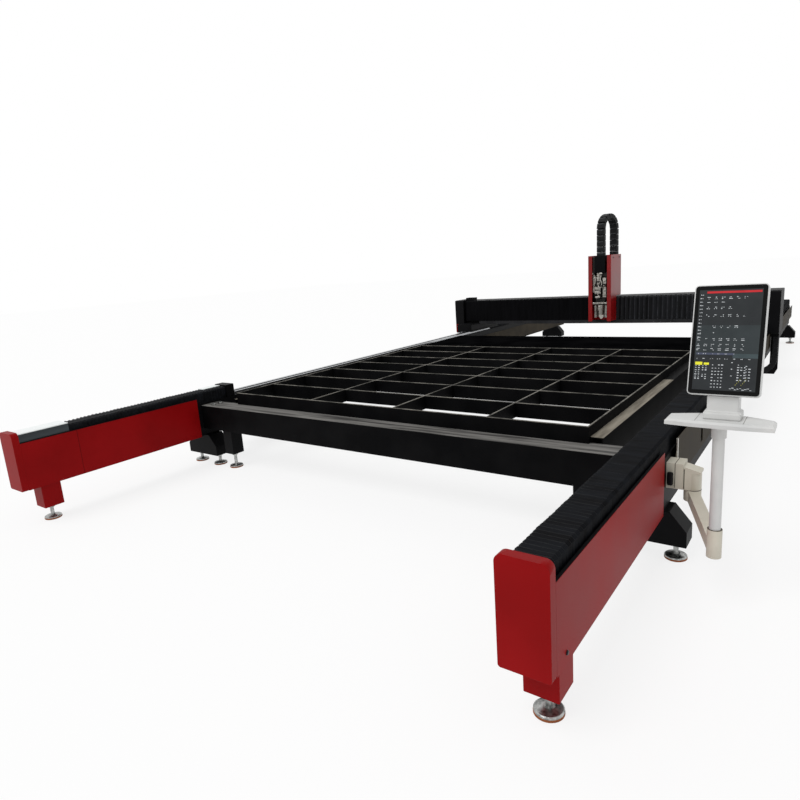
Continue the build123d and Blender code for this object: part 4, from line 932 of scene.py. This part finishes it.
def field_mesh(name, rectangles, lift_mm):
    """Flat rectangles on the glass, in shares of its width and height."""
    points, faces = [], []
    for u0, v0, u1, v1 in rectangles:
        base = len(points)
        for u, v in ((u0, v0), (u1, v0), (u1, v1), (u0, v1)):
            points.append(foot + across * u + rise * v + out * lift_mm * MM)
        faces.append(range(base, base + 4))
    return mesh_piece(name, points, faces)


for layer, (dark, light, rectangles) in enumerate(FIELDS, start=1):
    ink, tree, shader = finish("screen_field_%d" % layer, dark, light, 60, 0.3, specular=0.2)
    shader.inputs["Emission Color"].default_value = linear(light)
    shader.inputs["Emission Strength"].default_value = GLOW
    piece = field_mesh("screen_fields_%d" % layer, rectangles, 0.5 + 0.2 * layer)
    piece.data.materials.append(ink)
    put(piece, "console_panel", "screen")
print("screen marks:", len(marks))

# %% [markdown]
# The keyboard tray folds: its two wings meet the middle at narrow seams. A small catch hangs
# under the left wing. Such small blocks could be drawn by their own coordinates, but here each is
# placed by the box of its solid, as a share of it and a few millimetres more, and follows it.

# %% Tray seams and catch
def spot(node, *places):
    """Point by a solid's box; its place on each axis is a share of the box and millimetres more."""
    return [a + share * (b - a) + mm * MM for a, b, (share, mm) in zip(*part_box(node), places)]


def fitted(node, edge_mm, *axes):
    """Block between two such points, given by its two ends on each axis."""
    return block("fitted_block", *[spot(node, *ends) for ends in zip(*axes)], edge_mm)


SEAM_SHARES = (0.29, 0.73)
SEAM_Y, SEAM_Z = ((0, 12), (1, -12)), ((1, -1), (1, 0.4))
CATCH_MM = [(7, 0), (7, 6), (4, 9)]
seam_grey = finish("shadow_in_seam", "#7d7c78", "#8d8c88", 20, 0.7)[0]
seams = [fitted("console_tray", 0.2, ((share, -1), (share, 1)), SEAM_Y, SEAM_Z) for share in SEAM_SHARES]
put(joined("tray_seams", seams, seam_grey), "console_panel", "white_paint")
catch = lathe("catch", CATCH_MM, 12, spot("console_tray", (0, 30), (0, 70), (0, -8)))
put(joined("tray_catch", [catch], zinc), "console_panel", "zinc")
print("seams:", len(seams))

# %% [markdown]
# The clamp of the console has an upright black handle on a short stem.

# %% Clamp handle
GRIP = ((0, 2), (1, -4)), ((0, 0), (0, 20)), ((0.5, -34), (0.5, 30))
STEM_MM = [(8, 0), (8, 16)]
root = spot("console_knob", (0.5, 0), (1, 0), (0.5, 0))
handle = [fitted("console_knob", 8.0, *GRIP), lathe("stem", STEM_MM, 12, root, "-Y")]
put(joined("clamp_handle", handle, knob_black), body_of["console_knob"], slot_of["console_knob"],
    "console_knob")
print("handle at z", round(root[2], 3))

# %% [markdown]
# The console hangs on castings that turn on each other. A narrow dark gap shows where the clamp
# meets the swivel, where the swivel meets the arm, and where the column goes into its cup.

# %% Gaps between the castings
CLAMP_GAP = ((0, 72), (0, 76)), ((0, 9), (1, -9)), ((0, 4), (0, 98))
SWIVEL_GAP = ((0, 36), (0, 39)), ((0, -0.5), (1, 0.5)), ((0, 8), (1, 0.5))
PIN_GAP_MM, CUP_GAP_MM = [(37.6, 0), (37.6, 3)], [(26.4, 0), (26.4, 1.6)]
casting_gap = finish("shadow_in_casting_gap", "#4b4740", "#5c5850", 20, 0.8, specular=0.1)[0]
clamp_gaps = [fitted("console_bracket", 0.5, *CLAMP_GAP), fitted("console_bracket", 0.3, *SWIVEL_GAP)]
put(joined("clamp_gaps", clamp_gaps, casting_gap), body_of["console_bracket"], "beige_paint")
pin = spot("console_bracket", (1, -37), (0.5, 0), (0, -2))
cup_rim = spot("console_column", (0.5, 0), (0.5, 0), (0, 94.2))
arm_gaps = [lathe("pin_gap", PIN_GAP_MM, 32, pin), lathe("cup_gap", CUP_GAP_MM, 32, cup_rim)]
put(joined("arm_gaps", arm_gaps, casting_gap), body_of["console_arm"], "beige_paint")
print("gaps:", len(clamp_gaps) + len(arm_gaps))

# %% [markdown]
# Screws and bolts repeat one head each. Dark button heads hold the gantry lip, the right red cover
# and the head's housing, and hexagon bolts hold the left end of the front crossbeam.

# %% Screws and bolts
BUTTON_MM = [(8, 0), (8, 2), (5, 5)]
HEXAGON_MM = [(17, 0), (17, 9), (15, 11)]
SCREW_PITCH = 0.44
HOUSING_SCREW_SHARES, BOLT_SHARES = (0.22, 0.80), (0.3, 0.7)
screw_steel = finish("blackened_steel", "#17171a", "#2b2b2e", 8, 0.4, metallic=0.7)[0]


def screws(name, spots, axis, body):
    """Dark button heads that point along an axis."""
    put(repeated(name, spots, lathe("button", BUTTON_MM, 12, axis=axis), screw_steel), body, "zinc")


low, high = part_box("gantry_lip")
count = int((high.x - low.x) / SCREW_PITCH)
row = [spot("gantry_lip", ((i + 0.5) / count, 0), (0, 0), (0.5, 0)) for i in range(count)]
screws("lip_screws", row, "-Y", "gantry")
screws("cover_screws", [spot("front_covers_right", (1, 0), (0.06, 0), (0.12, 0))], "X", "base")
spots = [spot("head_housing", (1, 0), (share, 0), (1, -32)) for share in HOUSING_SCREW_SHARES]
screws("housing_screws", spots, "X", "carriage")
spots = [spot("crossbeam_front", (0, 90), (share, 0), (1, 0)) for share in BOLT_SHARES]
put(repeated("crossbeam_bolts", spots, lathe("bolt", HEXAGON_MM, 6), zinc), "base", "zinc")
print("screws on the lip:", count)

# %% [markdown]
# A black rubber lip closes the gap between the bellows and the red covers. It lies on the top edge
# of each cover and leaves room for the bellows' end frame, which slides between the lips. The left
# cover is made of two sheets that meet at a narrow seam.

# %% Rubber lips
FRAME_ROOM_MM = 1.5
LIP_Y, LIP_Z = ((0, 0), (1, 0)), ((1, -1), (1, 2))
COVER_SEAM = ((1, -1), (1, 0.4)), ((0.27, 0), (0.27, 2.5)), ((0, 2), (1, 0))
lip_rubber = finish("black_rubber_lip", "#050506", "#0d0d0e", 40, 0.7, specular=0.05)[0]
seam_red = finish("shadow_in_red_seam", "#3a0304", "#470506", 30, 0.6, specular=0.05)[0]
low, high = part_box("bellows_frame")
room = (high.x - low.x) / 2 / MM + FRAME_ROOM_MM
lips = [fitted(node, 0.8, ends, LIP_Y, LIP_Z) for node in ("front_covers_right", "front_covers_left")
        for ends in (((0, 1), (0.5, -room)), ((0.5, room), (1, -1)))]
put(joined("cover_lips", lips, lip_rubber), "base", "black_paint")
put(joined("cover_seam", [fitted("front_covers_left", 0.2, *COVER_SEAM)], seam_red), "base", "red_paint")
print("lips:", len(lips))

# %% [markdown]
# Three small plates are left: the bright folded edge of the grey panel beside the right rail, a
# pale strip on top of the bellows' end, and a red stop plate low on the gantry's left end cover.

# %% Small plates
PANEL_FOLD = ((1, -6), (1, 2)), ((0, -1), (0, 16)), ((1, -120), (1, 0))
STRIP = ((0, 8), (0, 74)), ((0, -170), (0, -4)), ((1, -10), (1, -5))
STOP = ((0, 6), (0, 48)), ((0, -3), (0, 2)), ((0, 14), (0, 118))
fold, strip = fitted("panel_right", 1.5, *PANEL_FOLD), fitted("bellows_frame", 1.0, *STRIP)
stop = fitted("end_cover_left", 1.0, *STOP)
put(joined("panel_fold", [fold], aluminium), "base", "aluminium")
put(joined("bellows_strip", [strip], polished), "bellows_end", "aluminium")
put(joined("stop_plate", [stop], coat["red_powder_coat"]), "gantry", "red_paint")
print("plates: 3")

# %% [markdown]
# The floor is plain and pale. A real white studio floor is lit from all sides until it is almost
# as white as the backdrop, so the rays that the camera sees get part of their white from the
# floor itself, and the rest keeps the soft shadow.

# %% Floor
FLOOR_HALF = 60
WHITE_SHARE = 0.8


def seen_rays(tree):
    """One where the camera, a gloss or a glass sees the surface, else zero."""
    rays = add(tree, "ShaderNodeLightPath")
    seen = add(tree, "ShaderNodeMath", {"operation": "MAXIMUM"},
               [(rays.outputs["Is Camera Ray"], 0), (rays.outputs["Is Glossy Ray"], 1)])
    return add(tree, "ShaderNodeMath", {"operation": "MAXIMUM"},
               [(seen.outputs[0], 0), (rays.outputs["Is Transmission Ray"], 1)]).outputs[0]


corners = [(x * FLOOR_HALF, y * FLOOR_HALF, 0) for x, y in ((-1, -1), (1, -1), (1, 1), (-1, 1))]
floor = mesh_piece("floor", corners, [(0, 1, 2, 3)])
floor_paint = bpy.data.materials.new("pale_studio_floor")
floor_paint.use_nodes = True
tree = floor_paint.node_tree
tree.nodes.clear()
matt = add(tree, "ShaderNodeBsdfDiffuse", {"Color": linear("#f9f9f9")})
bright = add(tree, "ShaderNodeEmission", {"Color": linear("#ffffff"), "Strength": 1.0})
share = add(tree, "ShaderNodeMath", {"operation": "MULTIPLY", 1: WHITE_SHARE}, [(seen_rays(tree), 0)])
mixed = add(tree, "ShaderNodeMixShader",
            links=[(share.outputs[0], 0), (matt.outputs[0], 1), (bright.outputs[0], 2)])
add(tree, "ShaderNodeOutputMaterial", links=[(mixed.outputs[0], "Surface")])
floor.data.materials.append(floor_paint)
print("floor white share:", WHITE_SHARE)

# %% [markdown]
# The world lights the scene softly from all around and looks white to the camera, and one broad
# sun from the front left gives the shapes their shading.

# %% World and sun
WORLD_STRENGTH, SUN_STRENGTH = 0.68, 1.2
SUN_WIDE, SUN_TILT, SUN_LEAN = math.radians(30), math.radians(34), math.radians(-12)
world = bpy.data.worlds.new("studio")
bpy.context.scene.world = world
world.use_nodes = True
tree = world.node_tree
tree.nodes.clear()
soft = add(tree, "ShaderNodeBackground", {"Color": linear("#ffffff"), "Strength": WORLD_STRENGTH})
plain = add(tree, "ShaderNodeBackground", {"Color": linear("#ffffff"), "Strength": 1.0})
both = add(tree, "ShaderNodeMixShader",
           links=[(seen_rays(tree), 0), (soft.outputs[0], 1), (plain.outputs[0], 2)])
add(tree, "ShaderNodeOutputWorld", links=[(both.outputs[0], "Surface")])

sun = placed("sun", bpy.data.lights.new("sun", "SUN"))
sun.data.energy = SUN_STRENGTH
sun.data.angle = SUN_WIDE
sun.rotation_euler = (SUN_TILT, SUN_LEAN, 0.0)
bpy.context.scene.view_settings.view_transform = "Standard"
print("light: world", WORLD_STRENGTH, "sun", SUN_STRENGTH)

# %% [markdown]
# The camera stands in front of the right rail, at about eye height, and looks along the bed. Its
# place, turn and focal length come from a perspective fit to the picture.

# %% Camera
EYE = Vector((2.2321, -5.8923, 1.4200))
YAW, PITCH, ROLL = math.radians(36.813), math.radians(12.318), math.radians(-4.176)
FOCAL_PX = 596.6
FRAME_PX = 800
CLIP_END = 200
ahead = Vector((-math.sin(YAW) * math.cos(PITCH), math.cos(YAW) * math.cos(PITCH), -math.sin(PITCH)))
side = ahead.cross(Vector((0, 0, 1))).normalized()
upward = side.cross(ahead)
right = side * math.cos(ROLL) + upward * math.sin(ROLL)
top = -side * math.sin(ROLL) + upward * math.cos(ROLL)
camera = placed("camera", bpy.data.cameras.new("camera"))
camera.matrix_world = Matrix.Translation(EYE) @ Matrix((right, top, -ahead)).transposed().to_4x4()
camera.data.lens = FOCAL_PX / FRAME_PX * camera.data.sensor_width
camera.data.clip_end = CLIP_END
bpy.context.scene.camera = camera
print("lens:", round(camera.data.lens, 2), "mm")
